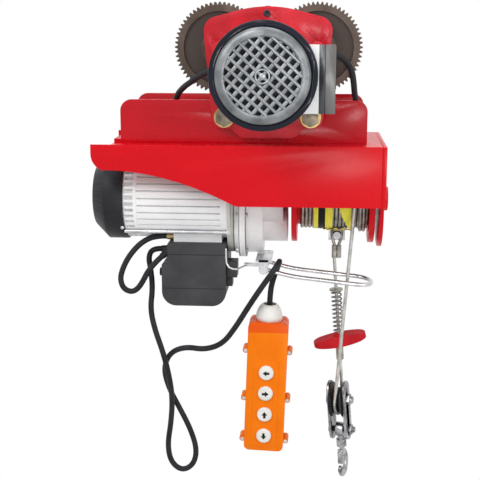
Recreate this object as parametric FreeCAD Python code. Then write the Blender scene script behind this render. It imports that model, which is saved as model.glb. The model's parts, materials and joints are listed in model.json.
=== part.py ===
"""Motor-trolley electric wire-rope hoist with pendant control, all sizes in millimetres.

X runs along the beam, Y away from the viewer and Z up. The origin is the middle of the beam's running surface,
between the four wheels, so Z = 0 is where the treads touch the beam's lower flange.
"""

import FreeCAD
import Part
import math
import os

# Clearances
RUN_FIT = 0.05
LOOSE_GAP = 0.5
BOLT_PLAY = 0.25

# Trolley wheels and side plates
WHEEL_HALF_SPACING = 76.0
TREAD_RADIUS = 45.0
TREAD_WIDTH = 28.0
BEAM_HALF_WIDTH = 58.0
FLANGE_PLAY = 4.0
GEAR_MODULE = 2.25
WHEEL_TEETH = 60
PINION_TEETH = 15
GEAR_FACE = 14.0
PLAIN_FLANGE_RADIUS = 57.0
PLAIN_FLANGE_WIDTH = 9.0
AXLE_RADIUS = 10.0
AXLE_HEAD_RADIUS = 14.0
BEARING_RADIUS = 21.0
BEARING_WIDTH = 14.0
SIDE_PLATE_THICK = 12.0
SIDE_PLATE_INNER = 80.0
PLATE_PEAK = 113.0
PLATE_PEAK_RADIUS = 180.0
PLATE_SHOULDER_X = 100.0
PLATE_SHOULDER_Z = 87.0
PLATE_SHOULDER_RADIUS = 22.0
PLATE_FOOT_X = 85.0
PLATE_FOOT_Z = -78.0
PLATE_LOBE_RADIUS = 16.0
PLATE_BOTTOM = -93.0
PLATE_BOTTOM_X = 42.0
TOP_SCREW_Z = 96.0
TOP_PAD_RADIUS = 12.0
TOP_PAD_HEIGHT = 3.0

# Hanger bracket between trolley and hoist
HANGER_THICK = 6.0
HANGER_TOP = -35.0
HANGER_BASE_TOP = -97.0
HANGER_LEFT = -233.0
HANGER_RIGHT = 155.0
HANGER_BASE_LEFT = -244.0
HANGER_CORNER = 18.0
CROSS_BOLT_X = 67.0
CROSS_BOLT_Z = -61.0
CROSS_BOLT_RADIUS = 8.0
SPACER_RADIUS = 12.0
FOOT_BOLT_RADIUS = 5.0
FOOT_BOLT_X = (-135.0, 110.0)
FOOT_BOLT_Y = 58.0

# Hoist frame, a folded sheet with two aprons
FRAME_LEFT = -275.0
FRAME_RIGHT = 178.0
FRAME_HALF_DEPTH = 115.0
FRAME_SHEET = 5.0
APRON_BOTTOM = -198.0
APRON_CURVE_X = (-258.0, -206.0, -128.0, -52.0)
APRON_CURVE_Z = (-143.0, -146.0, -164.0, -196.0)

# Hoisting axis, shared by motor, drum and output shaft
HOIST_AXIS_Z = -201.0
GEAR_CENTRES = 45.0
HOIST_MODULE = 1.25
HOIST_PINION_TEETH = 10
HOIST_WHEEL_TEETH = 62
HOIST_GEAR_FACE = 10.0
PRESSURE_ANGLE = 25.0
ADDENDUM = 0.85
DEDENDUM = 1.1
BACKLASH = 0.22

# Hoist motor
FAN_COVER_LEFT = -289.0
FAN_COVER_RIGHT = -236.0
FAN_COVER_RADIUS = 72.0
FAN_COVER_CHAMFER = 22.0
FAN_COVER_WALL = 2.5
END_RING_RIGHT = -213.0
END_RING_RADIUS = 69.0
MOTOR_RIGHT = -77.0
MOTOR_SHELL_RADIUS = 62.0
MOTOR_SHELL_WALL = 6.0
MOTOR_FIN_RADIUS = 69.0
MOTOR_FIN_COUNT = 40
MOTOR_FIN_THICK = 2.6
MOTOR_FLANGE_RIGHT = -67.0
STATOR_INNER_RADIUS = 36.0
STATOR_LEFT = -198.0
STATOR_RIGHT = -96.0
ROTOR_GAP = 0.6
ROTOR_SHAFT_RADIUS = 10.0
FAN_RADIUS = 58.0
FAN_BLADES = 9
TIE_ROD_RADIUS = 3.0
TIE_ROD_CIRCLE = 72.5
TIE_ROD_ANGLES = (45.0, 135.0, 225.0, 315.0)
MOTOR_FOOT_LEFT = -157.0
MOTOR_FOOT_HALF_DEPTH = 38.0
MOTOR_FOOT_BOTTOM = -272.0

# Gearbox
GEARBOX_JOINT_X = -43.0
GEARBOX_RIGHT = -9.0
GEARBOX_WALL = 6.0
GEARBOX_RADIUS = 48.0
CASING_BOLT_RADIUS = 2.0
CASING_BOLT_ACROSS = 6.5
GEARBOX_FLANGE_RADIUS = 56.0
OUTPUT_BOSS_RIGHT = 24.0
OUTPUT_BOSS_RADIUS = 46.0
LAY_BOSS_RIGHT = 31.0
LAY_BOSS_RADIUS = 29.0
OUTPUT_SHAFT_RADIUS = 12.0
OUTPUT_BEARING_RADIUS = 24.0
LAY_SHAFT_RADIUS = 5.0
GEARBOX_PAD_HALF_DEPTH = 34.0

# Drum and rope
DRUM_LEFT = 38.0
DRUM_FLANGE_THICK = 9.0
DRUM_RIGHT = 172.0
DRUM_CORE_RADIUS = 44.5
DRUM_WALL = 7.0
DRUM_FLANGE_RADIUS = 73.0
ROPE_DIAMETER = 6.0
SECOND_LAYER_LEFT = 146.0
SECOND_LAYER_STEP = 5.2
END_PLATE_THICK = 7.0
END_PLATE_RADIUS = 78.0
END_BOSS_RIGHT = 195.0
END_BOSS_RADIUS = 17.0
END_BEARING_RADIUS = 15.0

# Rope end, limiter and hook block
ANCHOR_X = 109.5
ANCHOR_Y = 11.0
ANCHOR_Z = -266.0
ANCHOR_PIN_RADIUS = 5.0
ANCHOR_PIN_HEAD = 3.0
ANCHOR_LUG_SET = 14.0
ANCHOR_LUG_DROP = 11.0
ANCHOR_STRAP_HALF = 14.0
ANCHOR_STRAP_THICK = 5.0
ANCHOR_STRAP_Z = -259.0
FERRULE_TOP = -284.0
FERRULE_BOTTOM = -305.0
FERRULE_RADIUS = 4.6
FERRULE_SPREAD = 3.5
LIVE_ROPE_X = 140.0
ARM_PIVOT_X = -6.0
ARM_PIVOT_Z = -310.0
ARM_ROD_RADIUS = 3.5
ARM_FRONT_Y = -60.0
ARM_REAR_Y = -3.0
ARM_KNEE_X = 38.0
ARM_KNEE_Z = -322.0
ARM_TIP_X = 170.0
ARM_TIP_Z = -336.0
ARM_HUB_RADIUS = 7.0
ARM_HUB_RIM = 1.5
ARM_PIVOT_RADIUS = 4.0
ARM_WEB_HALF = 13.0
ARM_CHEEK_THICK = 4.0
ARM_CHEEK_DROP = 9.0
ARM_NUT_ACROSS = 13.0
ARM_HEAD_HEIGHT = 5.0
ARM_NUT_HEIGHT = 6.0
ARM_LEVER_LENGTH = 34.0
ARM_LEVER_WIDTH = 12.0
ARM_LEVER_THICK = 4.0
SPRING_TOP = -362.0
SPRING_BOTTOM = -438.0
SPRING_RADIUS = 9.5
SPRING_WIRE = 2.8
SPRING_TURNS = 10
WASHER_RADIUS = 11.5
WASHER_THICK = 2.5
SADDLE_HALF_LENGTH = 45.0
SADDLE_HALF_DEPTH = 16.0
SADDLE_THICK = 19.0
SADDLE_TOP_FALL = 5.0
SADDLE_END_THICK = 7.5
SADDLE_END_RADIUS = 12.0
SADDLE_TILT = 9.0
SADDLE_SEAT = 2.0
SADDLE_NECK = 2.0
SLEEVE_RADIUS = 6.5
SLEEVE_BOTTOM = -484.0
SHEAVE_X = 121.0
SHEAVE_Y = -14.5
SHEAVE_Z = -549.0
SHEAVE_ROPE_RADIUS = 24.0
SHEAVE_RADIUS = 30.0
SHEAVE_HALF_WIDTH = 10.5
SHEAVE_RIM = 0.8
SHEAVE_BOLT_RADIUS = 6.0
BLOCK_PLATE_THICK = 4.0
BLOCK_PLATE_GAP = 1.0
BLOCK_PLATE_HALF = 17.0
BLOCK_PLATE_ROUND = 16.0
BLOCK_PLATE_TOP = 33.0
LOWER_BOLT_DROP = 54.0
LOWER_BOLT_RADIUS = 5.0
BLOCK_HEAD_HEIGHT = 4.0
BLOCK_NUT_HEIGHT = 6.0
BLOCK_BOLT_TAIL = 4.0
BLOCK_LEAN = 5.0
BLOCK_TURN = 17.0
EYE_RADIUS = 12.0
EYE_HALF_WIDTH = 6.5
STEM_RADIUS = 6.0
COLLAR_RADIUS = 8.5
COLLAR_DROP = 18.0
COLLAR_HEIGHT = 13.0
HOOK_SHANK_RADIUS = 5.0
HOOK_NECK = 2.0
HOOK_BEND = 65.0
HOOK_BOWL_RADIUS = 18.0
HOOK_TIP_ANGLE = 198.0
HOOK_BAR_HALF_DEPTH = 7.0
HOOK_BAR_HALF_WIDTH = 4.0
HOOK_NOSE_RADIUS = 6.0
HOOK_NOSE_HALF_WIDTH = 2.0
LATCH_PIN_RADIUS = 1.5
LATCH_PIN_LENGTH = 10.0
LATCH_PIN_OUT = 3.4
LATCH_PIN_DROP = 6.0
LATCH_KNUCKLE_RADIUS = 3.0
LATCH_KNUCKLE_WIDTH = 2.5
LATCH_HALF_WIDTH = 4.6
LATCH_LUG_HALF = 1.5
LATCH_REACH = 22.0
LATCH_PLATE_DROP = 4.0
LATCH_THICK = 2.0

# Switch box
BOX_LEFT = -176.0
BOX_RIGHT = -69.0
BOX_NECK_LEFT = -166.0
BOX_NECK_Z = -306.0
BOX_BOTTOM = -378.0
BOX_HALF_DEPTH = 52.0
BOX_CORNER = 24.0
BOX_TOP_CORNER = 2.0
BOX_NECK_CORNER = 3.0
BOX_STEP_CORNER = 4.0
BOX_INNER_CORNER = 1.0
BOX_WALL = 3.0
BOX_COVER_DEPTH = 22.0
GLAND_RADIUS = 7.0
GLAND_LENGTH = 14.0
GLAND_TAPER = 1.5
SUPPLY_BORE_RADIUS = 4.5
SUPPLY_GLAND_WALL = 2.0
SUPPLY_GLAND_Y = 22.0
SUPPLY_GLAND_Z = -338.0
LIMIT_SWITCH_WIDTH = 18.0
LIMIT_SWITCH_STEP = 8.0
LIMIT_SWITCH_STEP_Z = -330.0
LIMIT_SWITCH_FRONT = -44.0
LIMIT_SWITCH_BACK = -14.0
LIMIT_SWITCH_INSET = 4.0
LEAD_EXIT_Y = -30.0
LEAD_EXIT_Z = -264.0
LEAD_POCKET_LENGTH = 38.0
LEAD_POCKET_HALF = 12.0
LIMIT_SWITCH_TOP = -303.0
LIMIT_SWITCH_BOTTOM = -346.0

# Pendant
PENDANT_LEAN = 2.0
PENDANT_X = 2.5
PENDANT_Y = -45.0
PENDANT_TOP = -400.0
PENDANT_LENGTH = 224.0
PENDANT_HALF_WIDTH = 33.0
PENDANT_HALF_DEPTH = 24.0
PENDANT_WALL = 3.0
PENDANT_CORNER = 9.0
PENDANT_LUG_RADIUS = 5.0
PENDANT_LUG_OUT = 3.5
PENDANT_LUG_DEPTH = 12.0
PENDANT_SCREW_RADIUS = 1.7
PENDANT_SCREW_HEAD_RADIUS = 3.06
PENDANT_SCREW_HEAD_HEIGHT = 2.0
PENDANT_LUG_DROPS = (52.0, 136.0, 209.0)
PENDANT_GLAND_RADIUS = 20.0
PENDANT_GLAND_TOP_RADIUS = 15.0
PENDANT_GLAND_EDGE = 3.0
PENDANT_GLAND_HEIGHT = 27.0
BUTTON_DROPS = (85.0, 121.0, 158.0, 196.0)
BUTTON_NAMES = ("left", "right", "up", "down")
BUTTON_RADIUS = 11.0
BUTTON_PROUD = 6.0
BUTTON_EDGE = 1.5
BUTTON_FLANGE_RIM = 2.0
BUTTON_FLANGE_THICK = 3.0
CABLE_DIAMETER = 8.0

# Trolley motor
TROLLEY_MODULE = 1.25
TROLLEY_PINION_TEETH = 12
TROLLEY_WHEEL_TEETH = 30
TROLLEY_GEAR_FACE = 8.0
TROLLEY_CASE_RADIUS = 72.0
TROLLEY_CASE_BORE = 52.0
TROLLEY_SCREW_CIRCLE = 67.6
TROLLEY_SCREW_RADIUS = 2.0
TROLLEY_WALL = 6.0
TROLLEY_BEARING_RADIUS = 17.0
DRIVE_SHAFT_RADIUS = 9.0
DRIVE_BUSH_WALL = 4.0
TROLLEY_LAY_SHAFT_RADIUS = 4.0
TROLLEY_CASE_FRONT = -122.0
TROLLEY_SHELL_RADIUS = 64.0
TROLLEY_SHELL_WALL = 5.0
TROLLEY_FIN_RADIUS = 72.0
TROLLEY_FIN_COUNT = 36
TROLLEY_SHELL_FRONT = -192.0
TROLLEY_RING_RADIUS = 78.0
TROLLEY_RING_FRONT = -222.0
TROLLEY_RING_WALL = 3.0
GRILLE_RADIUS = 68.5
GRILLE_FRONT = -234.0
GRILLE_WALL = 3.5
GRILLE_PITCH = 11.5
GRILLE_HOLE = 7.0
GRILLE_FIELD_RADIUS = 54.0
TROLLEY_SHAFT_RADIUS = 7.0
TROLLEY_ROTOR_RADIUS = 33.0
TERMINAL_PAD = 79.0
TERMINAL_BASE = 89.0
TERMINAL_RIGHT = 103.0
TERMINAL_TOP = 51.0
TERMINAL_BOTTOM = -47.0
TERMINAL_FRONT = -188.0
TERMINAL_REAR = -132.0

# Derived places
GEAR_INNER_Y = -(BEAM_HALF_WIDTH + FLANGE_PLAY)
GEAR_OUTER_Y = GEAR_INNER_Y - GEAR_FACE
TREAD_INNER_Y = GEAR_INNER_Y + TREAD_WIDTH
PLATE_OUTER = SIDE_PLATE_INNER + SIDE_PLATE_THICK
PINION_DISTANCE = GEAR_MODULE * (WHEEL_TEETH + PINION_TEETH) / 2
PINION_Z = TREAD_RADIUS - math.sqrt(PINION_DISTANCE**2 - WHEEL_HALF_SPACING**2)
TROLLEY_CENTRES = TROLLEY_MODULE * (TROLLEY_PINION_TEETH + TROLLEY_WHEEL_TEETH) / 2
TROLLEY_LAY_Z = PINION_Z - TROLLEY_CENTRES
LAY_Z = HOIST_AXIS_Z - GEAR_CENTRES
FRAME_TOP = HANGER_BASE_TOP - HANGER_THICK
FRAME_UNDER = FRAME_TOP - FRAME_SHEET
ROPE_RADIUS = ROPE_DIAMETER / 2
CABLE_RADIUS = CABLE_DIAMETER / 2
WOUND_RADIUS = DRUM_CORE_RADIUS + ROPE_DIAMETER
SOFT_GAP = 0.3
LIVE_ROPE_Y = -(WOUND_RADIUS + SOFT_GAP + ROPE_RADIUS)
SADDLE_DEPTH = SADDLE_SEAT + SADDLE_THICK + SADDLE_NECK
FIRST_GEAR_X = GEARBOX_JOINT_X - 13.0
SECOND_GEAR_X = GEARBOX_JOINT_X + 9.0

# Cable exits: place on the wall, outward direction and length of each gland
MOTOR_LEAD_EXIT = ((MOTOR_FOOT_LEFT, LEAD_EXIT_Y, LEAD_EXIT_Z), (-1, 0, 0), 12.0)
MOTOR_LEAD_ENTRY = ((BOX_NECK_LEFT, -42.0, -287.0), (-0.74, 0, -0.67), GLAND_LENGTH)
PENDANT_LEAD_EXIT = ((BOX_NECK_LEFT, -20.0, -288.0), (-1, 0, 0), GLAND_LENGTH)

# Cord routes, chosen by hand, and the straight runs at their ends
LEAD_ENTRY_RUN = 28.0
PENDANT_ENTRY_RUN = 20.0
MOTOR_LEAD = [
    (-190, LEAD_EXIT_Y, LEAD_EXIT_Z), (-213, -38, -275), (-232, -46, -297), (-243, -49, -320), (-246, -50, -337),
    (-240, -50, -352), (-225, -50, -357), (-212, -48, -346),
]
PENDANT_LEAD = [
    (-195, -20, -288), (-203, -20, -302), (-199, -22, -324), (-195, -30, -354), (-198, -40, -388),
    (-190, -46, -422), (-177, -49, -458), (-167, -50, -498), (-161, -50, -540), (-164, -50, -585),
    (-171, -49, -627), (-166, -47, -660), (-147, -44, -677), (-127, -42, -666), (-121, -40, -638),
    (-133, -38, -600), (-152, -36, -563), (-170, -35, -528), (-178, -35, -493), (-166, -36, -465),
    (-139, -40, -453), (-105, -45, -456), (-74, -52, -442), (-52, -60, -410), (-33, -67, -377),
    (-13, -75, -344), (7, -81, -314), (19, -73, -297), (20, -57, -296), (15, -49, -313), (8, -46, -333),
]
TRAVEL_LEAD_LEFT = [
    (-66, -150, 14), (-82, -136, 13), (-99, -118, 6), (-117, -100, -6), (-131, -84, -15),
    (-145, -66, -29), (-152, -58, -58), (-152, -58, HANGER_BASE_TOP),
]
TRAVEL_LEAD_RIGHT = [
    (96, TERMINAL_REAR, 36), (96, -117, 36), (113, -106, 33), (128, -100, 15), (132, -95, -7),
    (134, -82, -25), (138, -66, -40), (142, -54, -65), (142, -54, HANGER_BASE_TOP),
]


def point(x, y, z):
    return FreeCAD.Vector(x, y, z)


AXES = {"X": point(1, 0, 0), "Y": point(0, 1, 0), "Z": point(0, 0, 1)}


def save(name, *shapes):
    """Write one node, made of one or more separate solids."""
    solids = [solid for shape in shapes for solid in shape.Solids]
    shape = solids[0] if len(solids) == 1 else Part.makeCompound(solids)
    shape.exportStep("parts/" + name + ".step")


def box(x0, x1, y0, y1, z0, z1):
    return Part.makeBox(x1 - x0, y1 - y0, z1 - z0, point(x0, y0, z0))


def rod(axis, start, radius, length):
    """Round bar from start along the named axis."""
    return Part.makeCylinder(radius, length, point(*start), AXES[axis])


def tube(axis, start, outer, inner, length):
    return rod(axis, start, outer, length).cut(rod(axis, start, inner, length))


def hexagon(axis, start, across, length):
    """Six-sided prism with the given width across flats."""
    corner = across / math.sqrt(3)
    corners = [
        point(corner * math.cos(math.radians(60 * k)), corner * math.sin(math.radians(60 * k)), 0)
        for k in range(7)
    ]
    prism = Part.Face(Part.makePolygon(corners)).extrude(point(0, 0, length))
    return laid(prism, axis, start)


def laid(shape, axis, origin):
    """Turn a shape drawn about local Z so that local Z lies along the axis, and move it to origin."""
    turn = {
        "X": FreeCAD.Rotation(AXES["Y"], AXES["Z"], AXES["X"], "ZXY"),
        "Y": FreeCAD.Rotation(AXES["Z"], AXES["X"], AXES["Y"], "ZXY"),
        "Z": FreeCAD.Rotation(),
    }[axis]
    placed = shape.copy()
    placed.Placement = FreeCAD.Placement(point(*origin), turn).multiply(placed.Placement)
    return placed


def fused(first, *others):
    return first.fuse(list(others)).removeSplitter()


def revolved(axis, origin, profile):
    """Solid of revolution from (radius, distance along the axis) points."""
    corners = [point(radius, 0, along) for radius, along in profile]
    face = Part.Face(Part.makePolygon(corners + corners[:1]))
    return laid(face.revolve(point(0, 0, 0), AXES["Z"], 360), axis, origin)


def plate_xz(edges, y0, y1):
    """Extrude a closed outline in the XZ plane from y0 to y1."""
    face = Part.Face(Part.Wire(edges))
    face.translate(point(0, y0, 0))
    return face.extrude(point(0, y1 - y0, 0))


def smooth_outline(corners, radius_by_corner, plane="XZ"):
    """Closed outline through corners, each rounded by its own tangent arc, as a list of edges."""
    count = len(corners)
    put = {"XZ": lambda a, b: point(a, 0, b), "YZ": lambda a, b: point(0, a, b)}[plane]
    points = [put(*corner) for corner in corners]
    cuts = []
    for k in range(count):
        here = points[k]
        back = (points[k - 1] - here).normalize()
        ahead = (points[(k + 1) % count] - here).normalize()
        half = back.getAngle(ahead) / 2
        radius = radius_by_corner[k]
        reach = radius / math.tan(half)
        middle = (back + ahead).normalize() * (radius / math.sin(half) - radius)
        cuts.append((here + back * reach, here + middle, here + ahead * reach, radius))
    edges = []
    for k in range(count):
        first, middle, last, radius = cuts[k]
        if radius > 0:
            edges.append(Part.Arc(first, middle, last).toShape())
        following = cuts[(k + 1) % count][0]
        if last.distanceToPoint(following) > 1e-6:
            edges.append(Part.LineSegment(last, following).toShape())
    return edges


def route(points, trim=0.45):
    """Path of straight runs joined by tangent arcs, with the bend radii that it got."""
    places = [point(*p) for p in points]
    edges = []
    radii = []
    start = places[0]
    for k in range(1, len(places) - 1):
        here = places[k]
        back = places[k - 1] - here
        ahead = places[k + 1] - here
        reach = trim * min(back.Length, ahead.Length)
        half = back.getAngle(ahead) / 2
        radius = reach * math.tan(half)
        radii.append(round(radius, 1))
        back.normalize()
        ahead.normalize()
        first = here + back * reach
        last = here + ahead * reach
        middle = here + (back + ahead).normalize() * (radius / math.sin(half) - radius)
        edges.append(Part.LineSegment(start, first).toShape())
        edges.append(Part.Arc(first, middle, last).toShape())
        start = last
    edges.append(Part.LineSegment(start, places[-1]).toShape())
    return Part.Wire(edges), radii


def cord(name, points, radius):
    """Round tube along a route, with its volume set against its section and length."""
    path, radii = route(points)
    aim = path.Edges[0].tangentAt(path.Edges[0].FirstParameter)
    section = Part.Wire(Part.makeCircle(radius, point(*points[0]), aim))
    solid = path.makePipeShell([section], True, False)
    expected = math.pi * radius**2 * path.Length
    print(name, "length", round(path.Length, 1), "volume ratio", round(solid.Volume / expected, 4), "radii", radii)
    return solid


def bent_rod(points, radius, trim=0.45):
    """Stiff round rod along a route."""
    path, _ = route(points, trim)
    aim = path.Edges[0].tangentAt(path.Edges[0].FirstParameter)
    section = Part.Wire(Part.makeCircle(radius, point(*points[0]), aim))
    return path.makePipeShell([section], True, False)


def gear_face(teeth, module, phase_degrees):
    """Outline of a spur gear about local Z, with one tooth centred at the phase angle."""
    pressure = math.radians(PRESSURE_ANGLE)
    pitch = module * teeth / 2
    base = pitch * math.cos(pressure)
    tip = pitch + ADDENDUM * module
    root = pitch - DEDENDUM * module
    half_tooth = math.pi / (2 * teeth) - BACKLASH / (2 * pitch)
    involute = math.tan(pressure) - pressure

    def half_angle(radius):
        roll = math.acos(min(1.0, base / radius))
        return half_tooth + involute - (math.tan(roll) - roll)

    low = max(root, base)
    radii = [low + (tip - low) * k / 3 for k in range(4)]
    flank = [(root, half_angle(low) * 1.02)] if root < low else []
    flank += [(radius, half_angle(radius)) for radius in radii]
    corners = []
    for tooth in range(teeth):
        centre = math.radians(phase_degrees) + 2 * math.pi * tooth / teeth
        side = [(radius, centre - angle) for radius, angle in flank]
        side += [(radius, centre + angle) for radius, angle in reversed(flank)]
        corners += [point(r * math.cos(a), r * math.sin(a), 0) for r, a in side]
    return Part.Face(Part.makePolygon(corners + corners[:1]))


def gear(axis, origin, teeth, module, face, phase_degrees):
    return laid(gear_face(teeth, module, phase_degrees).extrude(point(0, 0, face)), axis, origin)


def mesh_phase(teeth, toward_degrees):
    """Phase that puts a gap, not a tooth, at the given direction."""
    return toward_degrees + 180.0 / teeth


def side_plate_outline():
    """Arched outline with two bolt lobes at the foot."""
    half = [
        (0.0, PLATE_PEAK, PLATE_PEAK_RADIUS),
        (PLATE_SHOULDER_X, PLATE_SHOULDER_Z, PLATE_SHOULDER_RADIUS),
        (PLATE_FOOT_X, PLATE_FOOT_Z, PLATE_LOBE_RADIUS),
        (PLATE_BOTTOM_X + (PLATE_FOOT_Z - PLATE_BOTTOM), PLATE_FOOT_Z, PLATE_LOBE_RADIUS / 2),
        (PLATE_BOTTOM_X, PLATE_BOTTOM, PLATE_LOBE_RADIUS),
    ]
    both = half + [(-x, z, radius) for x, z, radius in reversed(half[1:])]
    return smooth_outline([(x, z) for x, z, _ in both], [radius for _, _, radius in both])


def side_plate_holes(y0, y1):
    """Axle seats and cross-bolt holes through a side plate."""
    length = y1 - y0
    holes = []
    for side in (-1, 1):
        holes.append(rod("Y", (side * WHEEL_HALF_SPACING, y0, TREAD_RADIUS), AXLE_RADIUS, length))
        hole_radius = CROSS_BOLT_RADIUS + BOLT_PLAY
        holes.append(rod("Y", (side * CROSS_BOLT_X, y0, CROSS_BOLT_Z), hole_radius, length))
    return holes


def make_side_plates():
    front = plate_xz(side_plate_outline(), -PLATE_OUTER, -SIDE_PLATE_INNER)
    case_depth = -PLATE_OUTER - TROLLEY_CASE_FRONT
    case = rod("Y", (0, TROLLEY_CASE_FRONT, PINION_Z), TROLLEY_CASE_RADIUS, case_depth)
    pad = rod("Y", (0, -PLATE_OUTER - TOP_PAD_HEIGHT, TOP_SCREW_Z), TOP_PAD_RADIUS, TOP_PAD_HEIGHT)
    front = fused(front, case, pad)
    front = front.cut(rod("Y", (0, TROLLEY_CASE_FRONT, PINION_Z), TROLLEY_CASE_BORE, case_depth))
    bush_radius = DRIVE_SHAFT_RADIUS + DRIVE_BUSH_WALL
    front = front.cut(rod("Y", (0, -PLATE_OUTER, PINION_Z), bush_radius, SIDE_PLATE_THICK))
    lay_seat = TROLLEY_LAY_SHAFT_RADIUS + RUN_FIT
    front = front.cut(rod("Y", (0, -PLATE_OUTER, TROLLEY_LAY_Z), lay_seat, TROLLEY_WALL + LOOSE_GAP))
    for screw in trolley_screws(TROLLEY_SCREW_RADIUS, 0):
        front = front.cut(screw)
    front = front.cut(side_plate_holes(-PLATE_OUTER, -SIDE_PLATE_INNER))
    front = front.cut(top_screw())
    save("trolley_front_plate", front)

    rear = plate_xz(side_plate_outline(), SIDE_PLATE_INNER, PLATE_OUTER)
    save("trolley_rear_plate", rear.cut(side_plate_holes(SIDE_PLATE_INNER, PLATE_OUTER)))


def drive_bush():
    outer = DRIVE_SHAFT_RADIUS + DRIVE_BUSH_WALL
    inner = DRIVE_SHAFT_RADIUS + RUN_FIT
    return tube("Y", (0, -PLATE_OUTER, PINION_Z), outer, inner, SIDE_PLATE_THICK)


def top_screw():
    """Socket screw on the raised pad at the crown of the front plate."""
    pad_face = -PLATE_OUTER - TOP_PAD_HEIGHT
    shank = rod("Y", (0, pad_face, TOP_SCREW_Z), TROLLEY_SCREW_RADIUS, TOP_PAD_HEIGHT + SIDE_PLATE_THICK)
    head_height = 2 * TROLLEY_SCREW_RADIUS
    head = rod("Y", (0, pad_face - head_height, TOP_SCREW_Z), 2 * TROLLEY_SCREW_RADIUS, head_height)
    socket = hexagon("Y", (0, pad_face - head_height, TOP_SCREW_Z), 2 * TROLLEY_SCREW_RADIUS, TROLLEY_SCREW_RADIUS)
    return fused(shank, head).cut(socket)


def trolley_screws(radius, head):
    """Four screws that hold the travel motor to its gear case, with heads when head is not zero."""
    screws = []
    start = TROLLEY_CASE_FRONT - TROLLEY_WALL
    for angle in (45, 135, 225, 315):
        x = TROLLEY_SCREW_CIRCLE * math.cos(math.radians(angle))
        z = PINION_Z + TROLLEY_SCREW_CIRCLE * math.sin(math.radians(angle))
        shank = rod("Y", (x, start, z), radius, TROLLEY_WALL + 3 * radius)
        if head:
            shank = fused(shank, rod("Y", (x, start - head, z), 1.6 * radius, head))
        screws.append(shank)
    return screws


def make_wheels():
    """Two geared wheels at the front, two plain ones at the rear, each on its own stub axle."""
    recess = 5.0
    rim = GEAR_MODULE * WHEEL_TEETH / 2 - 12.0
    hub = BEARING_RADIUS + 7.0
    inset = 1.0
    rear_end = -GEAR_INNER_Y + PLAIN_FLANGE_WIDTH
    bearing_starts = (
        GEAR_OUTER_Y + inset, TREAD_INNER_Y - BEARING_WIDTH - inset,
        -TREAD_INNER_Y + inset, rear_end - BEARING_WIDTH - inset,
    )
    rings = []
    toward = math.degrees(math.atan2(-WHEEL_HALF_SPACING, PINION_Z - TREAD_RADIUS))
    from_pinion = math.degrees(math.atan2(WHEEL_HALF_SPACING, TREAD_RADIUS - PINION_Z))
    tooth_pitch = 360.0 / PINION_TEETH
    slip = round(from_pinion / tooth_pitch) * tooth_pitch - from_pinion
    right_phase = mesh_phase(WHEEL_TEETH, toward) - slip * PINION_TEETH / WHEEL_TEETH
    for name, side in (("left", -1), ("right", 1)):
        x = side * WHEEL_HALF_SPACING
        phase = side * right_phase
        wheel = gear("Y", (x, GEAR_OUTER_Y, TREAD_RADIUS), WHEEL_TEETH, GEAR_MODULE, GEAR_FACE, phase)
        tread = rod("Y", (x, GEAR_INNER_Y, TREAD_RADIUS), TREAD_RADIUS, TREAD_WIDTH)
        wheel = fused(wheel, tread)
        wheel = wheel.cut(tube("Y", (x, GEAR_OUTER_Y, TREAD_RADIUS), rim, hub, recess))
        wheel = wheel.cut(rod("Y", (x, GEAR_OUTER_Y, TREAD_RADIUS), BEARING_RADIUS, GEAR_FACE + TREAD_WIDTH))
        save("geared_wheel_" + name, wheel)

        flange = rod("Y", (x, -GEAR_INNER_Y, TREAD_RADIUS), PLAIN_FLANGE_RADIUS, PLAIN_FLANGE_WIDTH)
        tread = rod("Y", (x, -TREAD_INNER_Y, TREAD_RADIUS), TREAD_RADIUS, TREAD_WIDTH)
        plain = fused(flange, tread)
        length = TREAD_WIDTH + PLAIN_FLANGE_WIDTH
        plain = plain.cut(rod("Y", (x, -TREAD_INNER_Y, TREAD_RADIUS), BEARING_RADIUS, length))
        save("plain_wheel_" + name, plain)

        for start in bearing_starts:
            rings.append(tube("Y", (x, start, TREAD_RADIUS), BEARING_RADIUS - RUN_FIT, AXLE_RADIUS, BEARING_WIDTH))
    save("wheel_bearings", *rings)

    axles = []
    clips = []
    for side in (-1, 1):
        x = side * WHEEL_HALF_SPACING
        inner_end = TREAD_INNER_Y + 3.0
        axle = rod("Y", (x, -PLATE_OUTER, TREAD_RADIUS), AXLE_RADIUS, PLATE_OUTER + inner_end)
        collar_gap = SIDE_PLATE_INNER + GEAR_OUTER_Y - LOOSE_GAP
        collar = rod("Y", (x, -SIDE_PLATE_INNER, TREAD_RADIUS), AXLE_HEAD_RADIUS, collar_gap)
        groove = tube("Y", (x, inner_end - 2.4, TREAD_RADIUS), AXLE_RADIUS, AXLE_RADIUS - 1.0, 1.4)
        front = fused(axle, collar).cut(groove)
        clip = tube("Y", (x, inner_end - 2.4, TREAD_RADIUS), AXLE_RADIUS + 3.0, AXLE_RADIUS - 1.0, 1.4)
        rear_gap = SIDE_PLATE_INNER - (-GEAR_INNER_Y + PLAIN_FLANGE_WIDTH) - LOOSE_GAP
        rear_axle = axle.cut(groove).mirror(point(0, 0, 0), AXES["Y"])
        rear_collar = rod("Y", (x, SIDE_PLATE_INNER - rear_gap, TREAD_RADIUS), AXLE_HEAD_RADIUS, rear_gap)
        axles += [front, fused(rear_axle, rear_collar)]
        clips += [clip, clip.mirror(point(0, 0, 0), AXES["Y"])]
    save("wheel_axles", *axles, *clips)


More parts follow.
